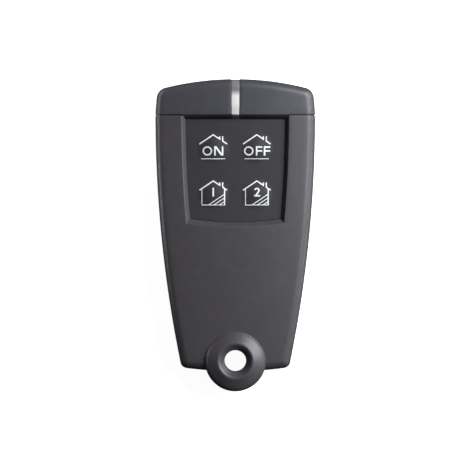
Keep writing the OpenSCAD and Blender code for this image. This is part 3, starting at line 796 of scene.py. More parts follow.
def shell_skin(body, eye, rings_out, rings_in, more):
    """Plan of one face of the lower case."""
    loops = shell_loops()
    lines, clear_out = eye_lines(body, eye, rings_out)
    lines += [arc(EYE_C, r, 0.0, FULL_TURN, EYE_STEPS) for r in rings_in] + more
    for inset in ROLL[1:]:
        chain = shell_chain(inset)
        lines += pieces_where(chain, lambda p: clear_out(p) or eye_radius(*p) > EYE_R + ROLL_ROOM)
    for half, y in shell_chain(0.0)[1:len(EDGE_STEPS)]:
        lines.append([(x, y) for x in np.linspace(-half, half, SEAM_STEPS + 1)])
    points = grid(loops[0], SKIN_PITCH)
    points = [p for p in points if eye_radius(*p) > EYE_R + EYE_ROOM and shell_d(*p) > EDGE_R + EDGE_ROOM]
    return triangulate(loops, lines, points)


def plan_inward(x, y):
    """Direction into the lower case from a point on its outline."""
    g = np.array((
        union_d(x + NEAR, y) - union_d(x - NEAR, y),
        union_d(x, y + NEAR) - union_d(x, y - NEAR),
    ))
    return g / max(np.hypot(*g), TINY)


PARTING_ANGLES = np.linspace(0, QUARTER_TURN, 5)
# A point of a skin's border is on the outer wall this near to the outline and this far below the seam
OUTLINE_NEAR = 0.2
SEAM_ROOM = 0.3


def shell_block(name, xy, tri, z, parting_z, up):
    """Closed block from one face of the lower case to the parting plane, which lies above it or below it."""
    s = Solid()
    ids = s.skin(xy, tri, z, down=up)
    ends = []
    for loop in loops_of(tri):
        columns = []
        for v in loop:
            x, y = xy[v]
            outside = abs(union_d(x, y)) < OUTLINE_NEAR and y < SHELL_END_Y - SEAM_ROOM
            n = plan_inward(x, y) if outside else np.zeros(2)
            column = [ids[v]]
            for a in PARTING_ANGLES:
                e = PARTING_SOFT * (1 - math.cos(a))
                rise = PARTING_SOFT * (1 - math.sin(a))
                column += s.add([(x + n[0] * e, y + n[1] * e, parting_z - rise if up else parting_z + rise)])
            columns.append(column)
        s.wall(columns, flip=up)
        ends.append([c[-1] for c in columns])
    s.close(ends, down=not up)
    return s.object(name)


# Ledge inside the end of the shells that backs the groove at the seam
LEDGE_INSET = 0.2
LEDGE_DEPTH = 0.5
LEDGE_L = 0.5
LEDGE_GAP = 0.02
LEDGE_STEPS = 7
LEDGE_HALF = BODY_W / 2 - LEDGE_INSET
# Tongues of the shells that reach into the cap
TONGUE_HALF = KEY_AT[1][0] + KEY_W / 2 - WALL
TONGUE_REACH = 3.5
TONGUE_T = 0.9
TONGUE_START_Y = SHELL_END_Y - PAST
REAR_TONGUE_Z = REAR_WALL + FIT_GAP
# Overlap of the rooms inside the shells and the cap
ROOM_PAST = 1.0


def open_plan(chain, y):
    """A chain carried on from both of its ends to a line across the seam."""
    return [(chain[0][0], y)] + chain + [(chain[-1][0], y)]


def shell_inside():
    """Plan of the room inside the lower case, open at the seam."""
    return open_plan(shell_chain(WALL, 0), CAP_START_Y + ROOM_PAST)


def ledge(inner, side, low, top):
    """Ledge on one side, from a distance off the axis to just inside the outline."""
    xs = list(np.linspace(inner, LEDGE_HALF - EDGE_R, LEDGE_STEPS + 1))
    xs += [LEDGE_HALF - r for r in ROLL[-2::-1]]
    plan = [(side * x, SHELL_END_Y - LEDGE_L) for x in xs]
    plan += [(side * x, CAP_START_Y - LEDGE_GAP) for x in reversed(xs)]
    return slab("ledge", plan, low, top)


def ledge_fall(x):
    """Depth of the seam's groove, following the rounded edge of the case."""
    return LEDGE_DEPTH + float(fillet(LEDGE_HALF - abs(x), EDGE_R))


def tongue(low):
    return block("tongue", TONGUE_HALF, (TONGUE_START_Y, SEAM_Y + TONGUE_REACH), (low, low + TONGUE_T))


def front_shell():
    """Front half of the lower case, with the keypad recess, the keys' windows and the screw's boss."""
    rim = [RECESS_WALL_W + RIM_SOFT * t for t in KNEE]
    more = [recess_chain(grow, SHELL_END_Y) for grow in [FILM_EDGE, 0.0, RECESS_WALL_W / 2] + rim]
    xy, tri = shell_skin(body_height, eye_height, EYE_OUT, EYE_IN, more)
    shell = shell_block("front_shell_moulding", xy, tri, front_height(*xy.T), FRONT_LOW_Z, up=False)
    for side in (-1, 1):
        top = lambda x, y: crown(x, y) - ledge_fall(x)
        join(shell, ledge(LIP_HALF + FIT_GAP, side, FRONT_LOW_Z, top))
    room = slab("room", shell_inside(), FRONT_LOW_Z - PAST, lambda x, y: crown(x, y) - WALL)
    tub = recess_chain(RECESS_WALL_W + WALL, CAP_START_Y + PAST)
    cut(
        room,
        prism("tub", tub, PLATE_LOW_Z, BODY_T + PAST),
        disc("eye", EYE_C, EYE_R, 0.0, BODY_T + PAST),
        disc("boss", SCREW_C, BOSS_R - FIT_GAP, 0.0, BODY_T + PAST),
    )
    cut(shell, room)
    slot = block("slot", PIPE_W_HEAD / 2 + PIPE_ROOM, (LAMP_Y - PIPE_FOOT_L, HEAD_Y), (0.0, BODY_T))
    join(shell, cut(tongue(PLATE_LOW_Z), slot))
    for k in range(len(KEYS)):
        cut(shell, prism("window", key_plan(k, KEY_GAP), PLATE_LOW_Z - PAST, FLOOR_Z))
    pilot = disc("pilot", SCREW_C, (SCREW_D + FIT_GAP) / 2, 0.0, FRONT_LOW_Z + PILOT_L)
    return soften(weld(cut(shell, pilot)))


POST_R = 1.2
POST_TOP_Z = 5.6
POST_AT = ((11.4, -14.8), (16.1, 25.35))


def rear_shell():
    """Rear half of the lower case, with the posts under the board and the counterbore of the screw."""
    rings_out = [EYE_R - r for r in EYE_REAR]
    rings_in = [EYE_HOLE_R + r for r in EYE_REAR]
    xy, tri = shell_skin(lambda x, y: -shell_fall(x, y), lambda r: -rear_eye(r), rings_out, rings_in, [])
    shell = shell_block("rear_shell_moulding", xy, tri, rear_height(*xy.T), REAR_TOP_Z, up=True)
    for side in (-1, 1):
        low = lambda x, y: ledge_fall(x)
        join(shell, ledge(-FIT_GAP, side, low, REAR_TOP_Z - PARTING_SOFT))
    room = prism("room", shell_inside(), REAR_WALL, BODY_T)
    cut(
        room,
        disc("eye", EYE_C, EYE_R, 0.0, BODY_T + PAST),
        disc("boss", SCREW_C, BOSS_R, 0.0, BODY_T + PAST),
        block("root", TONGUE_HALF, (TONGUE_START_Y, CAP_START_Y + PAST), (0.0, REAR_TONGUE_Z + TONGUE_T)),
    )
    cut(shell, room)
    for side in (-1, 1):
        for x, y in POST_AT:
            join(shell, disc("post", (side * x, y), POST_R, REAR_WALL - FIT_GAP, POST_TOP_Z))
    join(shell, tongue(REAR_TONGUE_Z))
    cut(
        shell,
        disc("counterbore", SCREW_C, SCREW_HEAD_R + FIT_GAP, -PAST, SCREW_HEAD_TOP_Z),
        disc("clearance", SCREW_C, SCREW_D / 2 + FIT_GAP, -PAST, BODY_T),
    )
    return soften(shell)


# End cap and light pipe

SLOT_STEPS = (-0.02, 0.02, 0.05, 0.1)
SLOT_ROWS = (0.3, 0.02, -0.02, -0.05, -0.1, -0.4)
SLOT_COUNT = 60
LIP_STEPS = 60
BESIDE_LIP_STEPS = 13
CAP_SEAM_STEPS = 32


def cap_skins():
    """Closed block of the end cap with its lip, before it is hollowed."""
    slot_edge = float(slot_half(HEAD_Y))
    slot_x = [slot_edge + o for o in SLOT_STEPS]

    def drawn_in(line):
        return [(x, y - float(fillet(abs(x) - slot_edge, SLOT_SOFT))) for x, y in line]

    chain = cap_chain(0.0, slot_x)
    rows = chain[1:len(EDGE_STEPS)]
    top_chain = drawn_in(chain)
    lip = [(-LIP_HALF, CAP_START_Y), (-LIP_FOOT_HALF, LIP_FOOT_Y)]
    lip += [(-x, y) for x, y in reversed(lip)]

    lines = [drawn_in(cap_chain(inset, slot_x)) for inset in ROLL[1:]]
    for half, y in rows:
        xs = np.linspace(LIP_HALF, half, BESIDE_LIP_STEPS + 1)
        lines += [[(side * x, y) for x in xs] for side in (-1, 1)]
    for t in KNEE:
        half = LIP_HALF + min(0.0, LIP_SOFT * t) * SIDE_WALL_W / LIP_W
        lines.append([(x, CAP_START_Y + LIP_SOFT * t) for x in np.linspace(-half, half, LIP_STEPS + 1)])
    for o in SLOT_STEPS:
        for side in (-1, 1):
            ys = np.linspace(LIP_FOOT_Y, HEAD_Y, SLOT_COUNT)
            line = [(side * (float(slot_half(y)) + o), y) for y in ys]
            lines += pieces_where(line, lambda p: cap_d(*p) > SLOT_ROOM)
    points = [p for p in grid(chain, SKIN_PITCH) if cap_d(*p) > EDGE_R + EDGE_ROOM]
    xy, tri = triangulate([top_chain + lip], lines, points)
    s = Solid()
    top = s.skin(xy, tri, cap_top(*xy.T))
    border = loops_of(tri)[0]

    seam = [(x, CAP_START_Y) for x in np.linspace(-chain[0][0], chain[0][0], CAP_SEAM_STEPS + 1)[1:-1]]
    lines = [cap_chain(inset) for inset in ROLL[1:]]
    lines += [[(x, y) for x in np.linspace(-half, half, CAP_SEAM_STEPS + 1)] for half, y in rows]
    rear_xy, rear_tri = triangulate([chain + seam], lines, points)
    rear = s.skin(rear_xy, rear_tri, cap_rear(*rear_xy.T), down=True)
    rear_border = loops_of(rear_tri)[0]

    top_at = {plan_key(xy[v]): top[v] for v in border}
    rear_at = {plan_key(rear_xy[v]): rear[v] for v in rear_border}
    columns = []
    for p, q in zip(top_chain, chain):
        column = [top_at[plan_key(p)]]
        for row in SLOT_ROWS:
            beside = max(abs(q[0]) - slot_edge, 0.0)
            e = float(fillet(math.hypot(beside, max(-row, 0.0)), SLOT_SOFT))
            column += s.add([(q[0], q[1] - e, SLOT_LOW_Z + row)])
        columns.append(column + [rear_at[plan_key(q)]])
    s.wall(columns, closed=False)

    # The top's border from the seam on the left along the lip to the seam on the right
    ids = [top[v] for v in border]
    start = ids.index(columns[-1][0])
    ids = ids[start:] + ids[:start]
    ids = ids[:ids.index(columns[0][0]) + 1]
    lip_ids = [i for i in ids if s.verts[i][1] < CAP_START_Y - NEAR]
    first, last = ids.index(lip_ids[0]) - 1, ids.index(lip_ids[-1]) + 1
    low = []
    for i in ids[first:last + 1]:
        x, y, _ = s.verts[i]
        low += s.add([(math.copysign(min(abs(x), LIP_FOOT_HALF), x), y, LIP_LOW_Z)])
    s.band(ids[first:last + 1], low, closed=False)
    s.faces.append(tuple(reversed(low)))
    rear_seam = [v for v in rear_border if rear_xy[v][1] < CAP_START_Y + NEAR]
    face = [rear[v] for v in sorted(rear_seam, key=lambda v: rear_xy[v][0])] + columns[0][-2:0:-1]
    face += ids[:last - 1:-1] + [low[-1], low[0]] + ids[first::-1] + columns[-1][1:-1]
    s.faces.append(tuple(face))
    return s.object("end_cap_moulding")


def cap_inside():
    """Room inside the end cap."""
    plan = open_plan(cap_chain(WALL, (), 0), CAP_START_Y - ROOM_PAST)
    room = slab("room", plan, REAR_WALL, lambda x, y: crown(x, y) - WALL)
    lip = block("lip", LIP_HALF, (CAP_START_Y - PAST, CAP_START_Y + WALL), (LIP_LOW_Z, BODY_T + PAST))
    return cut(room, lip)


def end_cap():
    """Hollow end cap with the slot for the light pipe."""
    cap = cut(cap_skins(), cap_inside())
    half = [(float(slot_half(y)), y) for y in (LIP_FOOT_Y - PAST, SEAM_Y, HEAD_Y, HEAD_Y + PAST)]
    plan = half + [(-x, y) for x, y in reversed(half)]
    return soften(cut(cap, prism("slot", plan, SLOT_LOW_Z, BODY_T + PAST)))


PIPE_EDGE = (0.0, 0.012, 0.035, 0.07, 0.1)
PIPE_STEP = 0.05
# Counts of points along the pipe: behind the lip, along the front, round the roll and down the end
PIPE_LIP_COUNT = 5
PIPE_FRONT_COUNT = 12
PIPE_ROLL_COUNT = 13
PIPE_END_COUNT = 9


def pipe_z(y):
    return LIP_FOOT_Z + float(rim_share(y - LIP_FOOT_Y, LIP_W, LIP_SOFT)) * (BODY_T - LIP_FOOT_Z)


def pipe_path():
    """Pairs of an outer and an inner point (y, z) along the light pipe, from the lip to its lower end."""
    roll_y, roll_z = PIPE_END_Y - EDGE_R, BODY_T - EDGE_R
    lip_end = CAP_START_Y + WALL
    knee = [CAP_START_Y + LIP_SOFT * t for t in KNEE]
    ys = [LIP_FOOT_Y + o for o in PIPE_EDGE] + [LIP_FOOT_Y + LIP_W / 2] + knee
    ys += list(np.linspace(knee[-1], lip_end, PIPE_LIP_COUNT)[1:])
    pairs = [((y, pipe_z(y)), (y, LIP_LOW_Z)) for y in ys]
    ys = np.linspace(lip_end + PIPE_STEP, roll_y, PIPE_FRONT_COUNT)
    pairs += [((y, BODY_T), (y, BODY_T - PIPE_DEPTH)) for y in ys]
    for a in np.linspace(0, QUARTER_TURN, PIPE_ROLL_COUNT)[1:]:
        radii = (EDGE_R, EDGE_R - PIPE_DEPTH)
        pairs.append(tuple((roll_y + r * math.sin(a), roll_z + r * math.cos(a)) for r in radii))
    zs = list(np.linspace(roll_z, PIPE_LOW_Z + PIPE_EDGE[-1], PIPE_END_COUNT)[1:])
    zs += [PIPE_LOW_Z + o for o in PIPE_EDGE[-2::-1]]
    return pairs + [((PIPE_END_Y, z), (PIPE_END_Y - PIPE_DEPTH, z)) for z in zs]


def light_pipe():
    """Strip that lies in the cap's slot and turns over its end, with a foot over the lamp."""
    s = Solid()
    pairs = pipe_path()
    outer = np.array([p[0] for p in pairs])
    along = np.gradient(outer, axis=0)
    along /= np.hypot(*along.T)[:, None]
    gone = np.concatenate(((0.0,), np.cumsum(np.hypot(*np.diff(outer, axis=0).T))))
    rings = []
    for (o, i), t, d in zip(pairs, along, gone):
        half = float(slot_half(o[0])) - PIPE_GAP
        end = min(d, gone[-1] - d)
        ring = []
        for x in [-half + e for e in PIPE_EDGE] + [0.0] + [half - e for e in reversed(PIPE_EDGE)]:
            e = float(fillet(min(half - abs(x), end), SLOT_SOFT))
            ring.append((x, o[0] + e * t[1], o[1] - e * t[0]))
        rings.append(s.add(ring + [(half, *i), (-half, *i)]))
    s.tube(rings)
    foot = block(
        "foot",
        PIPE_W_SEAM / 2 - PIPE_GAP,
        (LAMP_Y - PIPE_FOOT_L / 2, LAMP_Y + PIPE_FOOT_L / 2),
        (LAMP_TOP_Z + FIT_GAP, BODY_T - PIPE_DEPTH / 2),
    )
    return soften(join(s.object("light_pipe_moulding"), foot))


# Keypad

PAD_HALF = 3.65
WINDOW_HALF = 4.45
SHEET_INSET = 0.06
SHEET_FOOT_GAP = 0.06
SHEET_END_Y = LIP_FOOT_Y - FIT_GAP
SHEET_STEPS = 30
SHEET_PITCH = 0.9
WEB_T = 0.25
WEB_ROWS = 8
SIDE_STEPS = 12
KEY_RIM = 0.4
KEY_RIM_T = 0.35
KEY_RIM_Z = KEY_LOW_Z + KEY_RIM_T
BLOCK_GAP = 0.05
BLOCK_TOP_Z = PLATE_TOP_Z - BLOCK_GAP
# Soft bulge of a key over the sheet
BULGE_H = 0.44
BULGE_R = 4.05
BULGE_SHIFT_Y = -0.4
BULGE_PITCH = 0.4


def square_ring(k, half):
    """A square round a key with points along its sides."""
    x, y = KEY_AT[k]
    corners = box_plan((x - half, y - half), (x + half, y + half))
    sides = zip(corners, corners[1:] + corners[:1])
    return [tuple(p) for a, b in sides for p in np.linspace(a, b, SIDE_STEPS + 1)[:-1]]


def bulge(k, x, y):
    """Height of a key's bulge over the sheet."""
    r = np.hypot(x - KEY_AT[k][0], y - KEY_AT[k][1] - BULGE_SHIFT_Y)
    return BULGE_H * np.maximum(0.0, 1 - (r / BULGE_R) ** 2) ** 2


def key_top(k):
    """Top of the sheet over a key, as a function of the place."""
    return lambda x, y: sheet_z(x) + bulge(k, x, y)


def keypad_sheet():
    """Crowned sheet of the keypad, with a window for each key."""
    s = Solid()
    top = lambda x, y: sheet_z(x)
    outline = recess_chain(-SHEET_INSET, SHEET_END_Y, SHEET_FOOT_GAP)
    outline += [(x, SHEET_END_Y) for x in np.linspace(outline[-1][0], outline[0][0], SHEET_STEPS + 1)[1:-1]]
    loops = [anticlockwise(outline)]
    loops += [anticlockwise(square_ring(k, WINDOW_HALF))[::-1] for k in range(len(KEYS))]
    upper, lower = ([s.ring(loop, z) for loop in loops] for z in (top, PLATE_TOP_Z))
    for ring, below in zip(upper, lower):
        s.band(ring, below)
    s.close(upper, z=top, points=grid(outline, SHEET_PITCH))
    s.close(lower, down=True)
    return soften(s.object("keypad_sheet"))


def key_pad(k):
    """Rubber key: a bulged top on a wider block with a rim."""
    s = Solid()
    plans = [square_ring(k, PAD_HALF), key_plan(k, 0.0), key_plan(k, KEY_RIM)]
    heights = [key_top(k), BLOCK_TOP_Z, KEY_RIM_Z, KEY_LOW_Z]
    steps = [(s.ring(plan, high), s.ring(plan, low)) for plan, high, low in zip(plans, heights, heights[1:])]
    for upper, lower in steps:
        s.band(upper, lower)
    s.close([steps[0][0]], z=heights[0], points=grid(plans[0], BULGE_PITCH))
    for (_, inner), (outer, _) in zip(steps, steps[1:]):
        s.close([outer, inner[::-1]])
    s.close([steps[-1][1]], down=True)
    return soften(s.object("key_pad_" + KEYS[k]))


def key_web(k, side):
    """One quarter of the thin rubber between the sheet and a key, from the sheet inwards."""
    s = Solid()
    x, y = KEY_AT[k]
    top = key_top(k)
    a = QUARTER_TURN * "enws".index(side)
    out, across = (math.cos(a), math.sin(a)), (-math.sin(a), math.cos(a))
    rows = []
    for h in np.linspace(WINDOW_HALF, PAD_HALF, WEB_ROWS + 1):
        steps = np.linspace(-1, 1, SIDE_STEPS + 1)
        line = [(x + h * (out[0] + f * across[0]), y + h * (out[1] + f * across[1])) for f in steps]
        rows.append(s.ring(line, top) + s.ring(line[::-1], lambda px, py: top(px, py) - WEB_T))
    s.tube(rows)
    web = soften(s.object(f"key_web_{KEYS[k]}_{side}"))
    start, end = ((x + h * out[0], y + h * out[1], FLOOR_Z) for h in (WINDOW_HALF, PAD_HALF))
    [c * MM for c in start]
    [c * MM for c in end]
    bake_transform(web)
    return web


# Snap domes, from the CAD model's switches

DOME_LOW_Z = 6.85
DOME_RISE = 0.4
DOME_T = 0.08
DOME_R = 1.9
DOME_BEND_R = 1.7
DOME_RINGS = 10
DOME_SIDES = 48


def dome_rise(r):
    return (DOME_RISE - DOME_T) * max(0.0, 1 - (r / DOME_BEND_R) ** 2)


def snap_dome(k):
    """Stamped spring dome on a flat rim, drawn at rest; in the fob it goes flat under its key's plunger."""
    s = Solid()
    x, y = KEY_AT[k]
    radii = [DOME_BEND_R * (i + 1) / DOME_RINGS for i in range(DOME_RINGS)] + [DOME_R]
    profile = [(r, dome_rise(r)) for r in radii] + [(r, DOME_T + dome_rise(r)) for r in reversed(radii)]
    s.tube([s.ring(circle((x, y), r, DOME_SIDES), DOME_LOW_Z + z) for r, z in profile])
    dome = soften(s.object("snap_dome_" + KEYS[k]))
    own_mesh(dome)
    return dome


# Legends, drawn about a point near the middle of their key

LEGEND_SHIFT = (-0.07, -0.06)
LEGEND_T = 0.06
LEGEND_STROKE = 0.29
THIN_STROKE = 0.178
LETTER_STROKE = 0.375
ROOF_APEX = (0.0, 2.88)
ROOF_EAVE = (3.32, 0.66)
ROOF_SLOPE = (ROOF_APEX[1] - ROOF_EAVE[1]) / ROOF_EAVE[0]
CHIMNEY_X = (1.56, 2.26)
CHIMNEY_TOP = 2.52
LETTER_LOW = -2.11
LETTER_HIGH = 0.12
LETTER_MIDDLE = (LETTER_LOW + LETTER_HIGH) / 2
O_LEFT = {"on": -2.56, "off": -3.08}
O_W = 2.29
O_STROKE = 0.34
O_SIDES = 48
N_LEFT = 0.22
N_W = 2.2
N_LEAN = 0.55
F_LEFT = (-0.24, 1.67)
F_W = 1.55
F_ARM_W = 0.36
UNDERLINE_Y = -2.88
UNDERLINE_HALF = 2.9
HOUSE_HALF = 2.72
SHADE_STROKE = 0.2
SHADE_FIRST = 1.25
SHADE_PITCH = 1.31
SHADE_COUNT = 3
DIGIT_LOW = -0.87
DIGIT_HIGH = 1.26
DIGIT_W = 1.37
BOWL_ANGLES = (math.radians(165), math.radians(-35))
BOWL_STEPS = 14


def roof_y(x):
    return ROOF_APEX[1] - ROOF_SLOPE * abs(x)


def stroke(points, w=LEGEND_STROKE):
    """Plan of a line of some width through points, with mitred corners and square ends."""
    p = np.array(points, float)
    d = np.diff(p, axis=0)
    d /= np.hypot(*d.T)[:, None]
    left = np.column_stack((-d[:, 1], d[:, 0]))
    joints = left[:-1] + left[1:]
    joints *= 2 / (joints**2).sum(axis=1)[:, None]
    side = np.vstack((left[:1], joints, left[-1:])) * w / 2
    return [tuple(q) for q in p + side] + [tuple(q) for q in (p - side)[::-1]]


def roof():
    near, far = CHIMNEY_X
    yield stroke([(-ROOF_EAVE[0], ROOF_EAVE[1]), ROOF_APEX, (near, roof_y(near)), (near, CHIMNEY_TOP)])
    yield stroke([(far, CHIMNEY_TOP), (far, roof_y(far)), ROOF_EAVE])


def letter_n(left):
    right = left + N_W
    yield box_plan((left, LETTER_LOW), (left + LETTER_STROKE, LETTER_HIGH))
    yield box_plan((right - LETTER_STROKE, LETTER_LOW), (right, LETTER_HIGH))
    yield [
        (left, LETTER_HIGH), (right - N_LEAN, LETTER_LOW), (right, LETTER_LOW), (left + N_LEAN, LETTER_HIGH)
    ]


def letter_f(left):
    yield box_plan((left, LETTER_LOW), (left + LETTER_STROKE, LETTER_HIGH))
    for y in (LETTER_MIDDLE, LETTER_HIGH - F_ARM_W / 2):
        yield box_plan((left, y - F_ARM_W / 2), (left + F_W, y + F_ARM_W / 2))


def house():
    """Walls under the roof, with shading strokes in the lower right corner."""
    eave = roof_y(HOUSE_HALF)
    walls = [(-HOUSE_HALF, eave), (-HOUSE_HALF, UNDERLINE_Y), (HOUSE_HALF, UNDERLINE_Y)]
    yield stroke(walls, THIN_STROKE)
    yield stroke([(HOUSE_HALF, UNDERLINE_Y - THIN_STROKE / 2), (HOUSE_HALF, eave)])
    for i in range(SHADE_COUNT):
        reach = SHADE_FIRST + i * SHADE_PITCH
        ends = [(HOUSE_HALF - reach, UNDERLINE_Y), (HOUSE_HALF, UNDERLINE_Y + ROOF_SLOPE * reach)]
        yield stroke(ends, SHADE_STROKE)


def digit_two():
    half = LETTER_STROKE / 2
    r = DIGIT_W / 2 - half
    curve = arc((0.0, DIGIT_HIGH - half - r), r, *BOWL_ANGLES, BOWL_STEPS)
    yield stroke(curve + [(half - r, DIGIT_LOW + half)], LETTER_STROKE)
    yield box_plan((-DIGIT_W / 2, DIGIT_LOW), (DIGIT_W / 2 + half / 2, DIGIT_LOW + F_ARM_W))


def ellipse(left, grow):
    rx, ry = O_W / 2 + grow, (LETTER_HIGH - LETTER_LOW) / 2 + grow
    unit = circle((0.0, 0.0), 1.0, O_SIDES)
    return [(left + O_W / 2 + rx * x, LETTER_MIDDLE + ry * y) for x, y in unit]


def legend_plans(key):
    """Plans of a legend's strokes, apart from its letter O."""
    underline = stroke([(-UNDERLINE_HALF, UNDERLINE_Y), (UNDERLINE_HALF, UNDERLINE_Y)], THIN_STROKE)
    digit_one = stroke([(0.0, DIGIT_LOW), (0.0, DIGIT_HIGH)], LETTER_STROKE)
    rest = {
        "on": [underline, *letter_n(N_LEFT)],
        "off": [underline, *letter_f(F_LEFT[0]), *letter_f(F_LEFT[1])],
        "one": [*house(), digit_one],
        "two": [*house(), *digit_two()],
    }
    return [*roof(), *rest[key]]


def drape(piece, k):
    """Cut a flat piece into small faces and lay it over a key's bulge."""
    top = key_top(k)
    bm = bmesh.new()
    bm.from_mesh(piece.data)
    for axis in (0, 1):
        normal = [float(i == axis) for i in range(3)]
        for t in np.arange(-KEY_W / 2, KEY_W / 2, BULGE_PITCH):
            at = [(c + t) * MM for c in KEY_AT[k]] + [0.0]
            geometry = bm.verts[:] + bm.edges[:] + bm.faces[:]
            bmesh.ops.bisect_plane(bm, geom=geometry, dist=NEAR * MM, plane_co=at, plane_no=normal)
    bmesh.ops.triangulate(bm, faces=bm.faces[:])
    for v in bm.verts:
        v.co.z += float(top(v.co.x / MM, v.co.y / MM) - FLOOR_Z) * MM
    bm.to_mesh(piece.data)
    bm.free()


def legend_print(k):
    """Printed legend of a key."""
    x0, y0 = (a + b for a, b in zip(KEY_AT[k], LEGEND_SHIFT))

    def solid(plan, past=0.0):
        plan = [(x0 + x, y0 + y) for x, y in plan]
        return prism("stroke", plan, FLOOR_Z - past, FLOOR_Z + LEGEND_T + past)

    first, *more = legend_plans(KEYS[k])
    legend = join(solid(first), *[solid(plan) for plan in more])
    if KEYS[k] in O_LEFT:
        left = O_LEFT[KEYS[k]]
        inside = solid(ellipse(left, -O_STROKE), LEGEND_T)
        join(legend, cut(solid(ellipse(left, 0.0)), inside))
    drape(legend, k)
    legend.name = legend.data.name = "legend_print_" + KEYS[k]
    return soften(legend)


# Materials, with sizes in mm

NOISE_ROUGHNESS = 0.55
# Range in which most of a noise lies
NOISE_SPAN = (0.3, 0.7)


class Look:
    """A material in the making, with textures in the piece's own coordinates."""

    def __init__(self, name):
        self.material = bpy.data.materials.new(name)
        self.material.use_nodes = True
        self.tree = self.material.node_tree

    def put(self, node, values):
        """Set a node's sockets, and link those whose value is another node's output."""
        for name, value in values.items():
            socket = node.inputs[name.replace("_", " ")]
            if isinstance(value, bpy.types.NodeSocket):
                self.tree.links.new(value, socket)
            else:
                socket.default_value = value
        return node

    def node(self, kind, **values):
        return self.put(self.tree.nodes.new("ShaderNode" + kind), values)

    def place(self):
        return self.node("TexCoord").outputs["Object"]

    def noise(self, size, detail=2.0, stretch=(1, 1, 1)):
        """Noise with features of about the given size."""
        place = self.node("Mapping", Vector=self.place(), Scale=stretch).outputs["Vector"]
        scale = 1 / (size * MM)
        node = self.node("TexNoise", Vector=place, Scale=scale, Detail=detail, Roughness=NOISE_ROUGHNESS)
        return node.outputs["Fac"]

    def spread(self, value, low, high, span=NOISE_SPAN):
        """A noise, or a value in another span, turned into a number between two limits."""
        node = self.node("MapRange", Value=value, From_Min=span[0], From_Max=span[1], To_Min=low, To_Max=high)
        return node.outputs["Result"]

    def tones(self, value, *stops):
        """A number turned into a colour between stops (place, colour)."""
        node = self.node("ValToRGB", Fac=value)
        ramp = node.color_ramp
        while len(ramp.elements) < len(stops):
            ramp.elements.new(0.5)
        for element, (place, colour) in zip(ramp.elements, stops):
            element.position = place
            element.color = (*colour, 1.0)
        return node.outputs["Color"]

    def bump(self, height, depth, strength):
        return self.node("Bump", Height=height, Strength=strength, Distance=depth * MM).outputs["Normal"]

    def surface(self, **values):
        """The material, with these values on its shader."""
        self.put(self.tree.nodes["Principled BSDF"], values)
        return self.material


def shade(colour, factor):
    return tuple(min(1.0, c * factor) for c in colour)


MOTTLE = 1.6
SHEEN = 6.0
GRAIN_STRENGTH = 0.6


def moulded(name, colour, vary=0.06, rough=(0.4, 0.46), grain=0.22, depth=0.006, specular=0.5):
    """Moulded plastic or rubber: fine grain, slight mottling and an uneven sheen."""
    look = Look(name)
    stops = zip(NOISE_SPAN, (shade(colour, 1 - vary), shade(colour, 1 + vary)))
    return look.surface(
        Base_Color=look.tones(look.noise(MOTTLE, detail=4.0), *stops),
        Roughness=look.spread(look.noise(SHEEN, detail=3.0), *rough),
        Specular_IOR_Level=specular,
        Normal=look.bump(look.noise(grain), depth, GRAIN_STRENGTH),
    )


TARNISH = 1.2
TARNISH_SPAN = (0.3, 0.65)
TARNISH_SHADES = (0.86, 1.06)
BRUSH = 0.15
BRUSH_DEPTH = 0.002
BRUSH_STRENGTH = 0.4


def plated(name, colour, rough=(0.2, 0.34), stretch=(1, 1, 1)):
    """Metal with a fine drawn or brushed finish and slight tarnish."""
    look = Look(name)
    stops = zip(TARNISH_SPAN, (shade(colour, f) for f in TARNISH_SHADES))
    lines = look.noise(BRUSH, stretch=stretch)
    return look.surface(
        Base_Color=look.tones(look.noise(TARNISH, detail=4.0), *stops),
        Roughness=look.spread(lines, *rough),
        Metallic=1.0,
        Normal=look.bump(lines, BRUSH_DEPTH, BRUSH_STRENGTH),
    )


# The light pipe's colours are painted light and shade: the grey is painted shade where it turns over the end,
# the lip's tone is painted shade on the lip, and the bright and soft tones are painted light along its front,
# dimmer towards the seam
PIPE_END_PAINTED_SHADE = (0.186, 0.182, 0.183)
PIPE_PAINTED_LIGHT = (0.74, 0.715, 0.67)
PIPE_PAINTED_SOFT_LIGHT = (0.59, 0.57, 0.54)
PIPE_LIP_PAINTED_SHADE = (0.12, 0.12, 0.125)
# Colours of the light pipe by the place along the case, which paint its light and shade: painted shade on the
# lip and where it turns over the end, painted light along its front
PIPE_PAINTED_LIGHT_AND_SHADE = (
    (LIP_FOOT_Y, PIPE_LIP_PAINTED_SHADE),
    (28.63, PIPE_LIP_PAINTED_SHADE),
    (28.98, PIPE_PAINTED_SOFT_LIGHT),
    (30.4, PIPE_PAINTED_SOFT_LIGHT),
    (31.6, PIPE_PAINTED_LIGHT),
    (33.4, PIPE_PAINTED_LIGHT),
    (34.8, PIPE_END_PAINTED_SHADE),
    (HEAD_Y, PIPE_END_PAINTED_SHADE),
)


def milky():
    """Clouded plastic of the light pipe, its colour painted with shade where it turns over the end and on the
    lip, and with light that is brightest along its middle.
    """
    look = Look("pipe_plastic")
    y_axis = look.node("SeparateXYZ", Vector=look.place()).outputs["Y"]
    along = look.spread(y_axis, 0.0, 1.0, (LIP_FOOT_Y * MM, HEAD_Y * MM))
    stops = [((y - LIP_FOOT_Y) / (HEAD_Y - LIP_FOOT_Y), colour) for y, colour in PIPE_PAINTED_LIGHT_AND_SHADE]
    return look.surface(
        Base_Color=look.tones(along, *stops),
        Roughness=look.spread(look.noise(size=1.0, detail=3.0), low=0.3, high=0.42),
        Normal=look.bump(look.noise(size=0.35), depth=0.004, strength=0.5),
    )


TRACK_PITCH = 1.4
TRACK_TONES = ((0.18, (0.03, 0.22, 0.09)), (0.3, (0.015, 0.12, 0.05)))


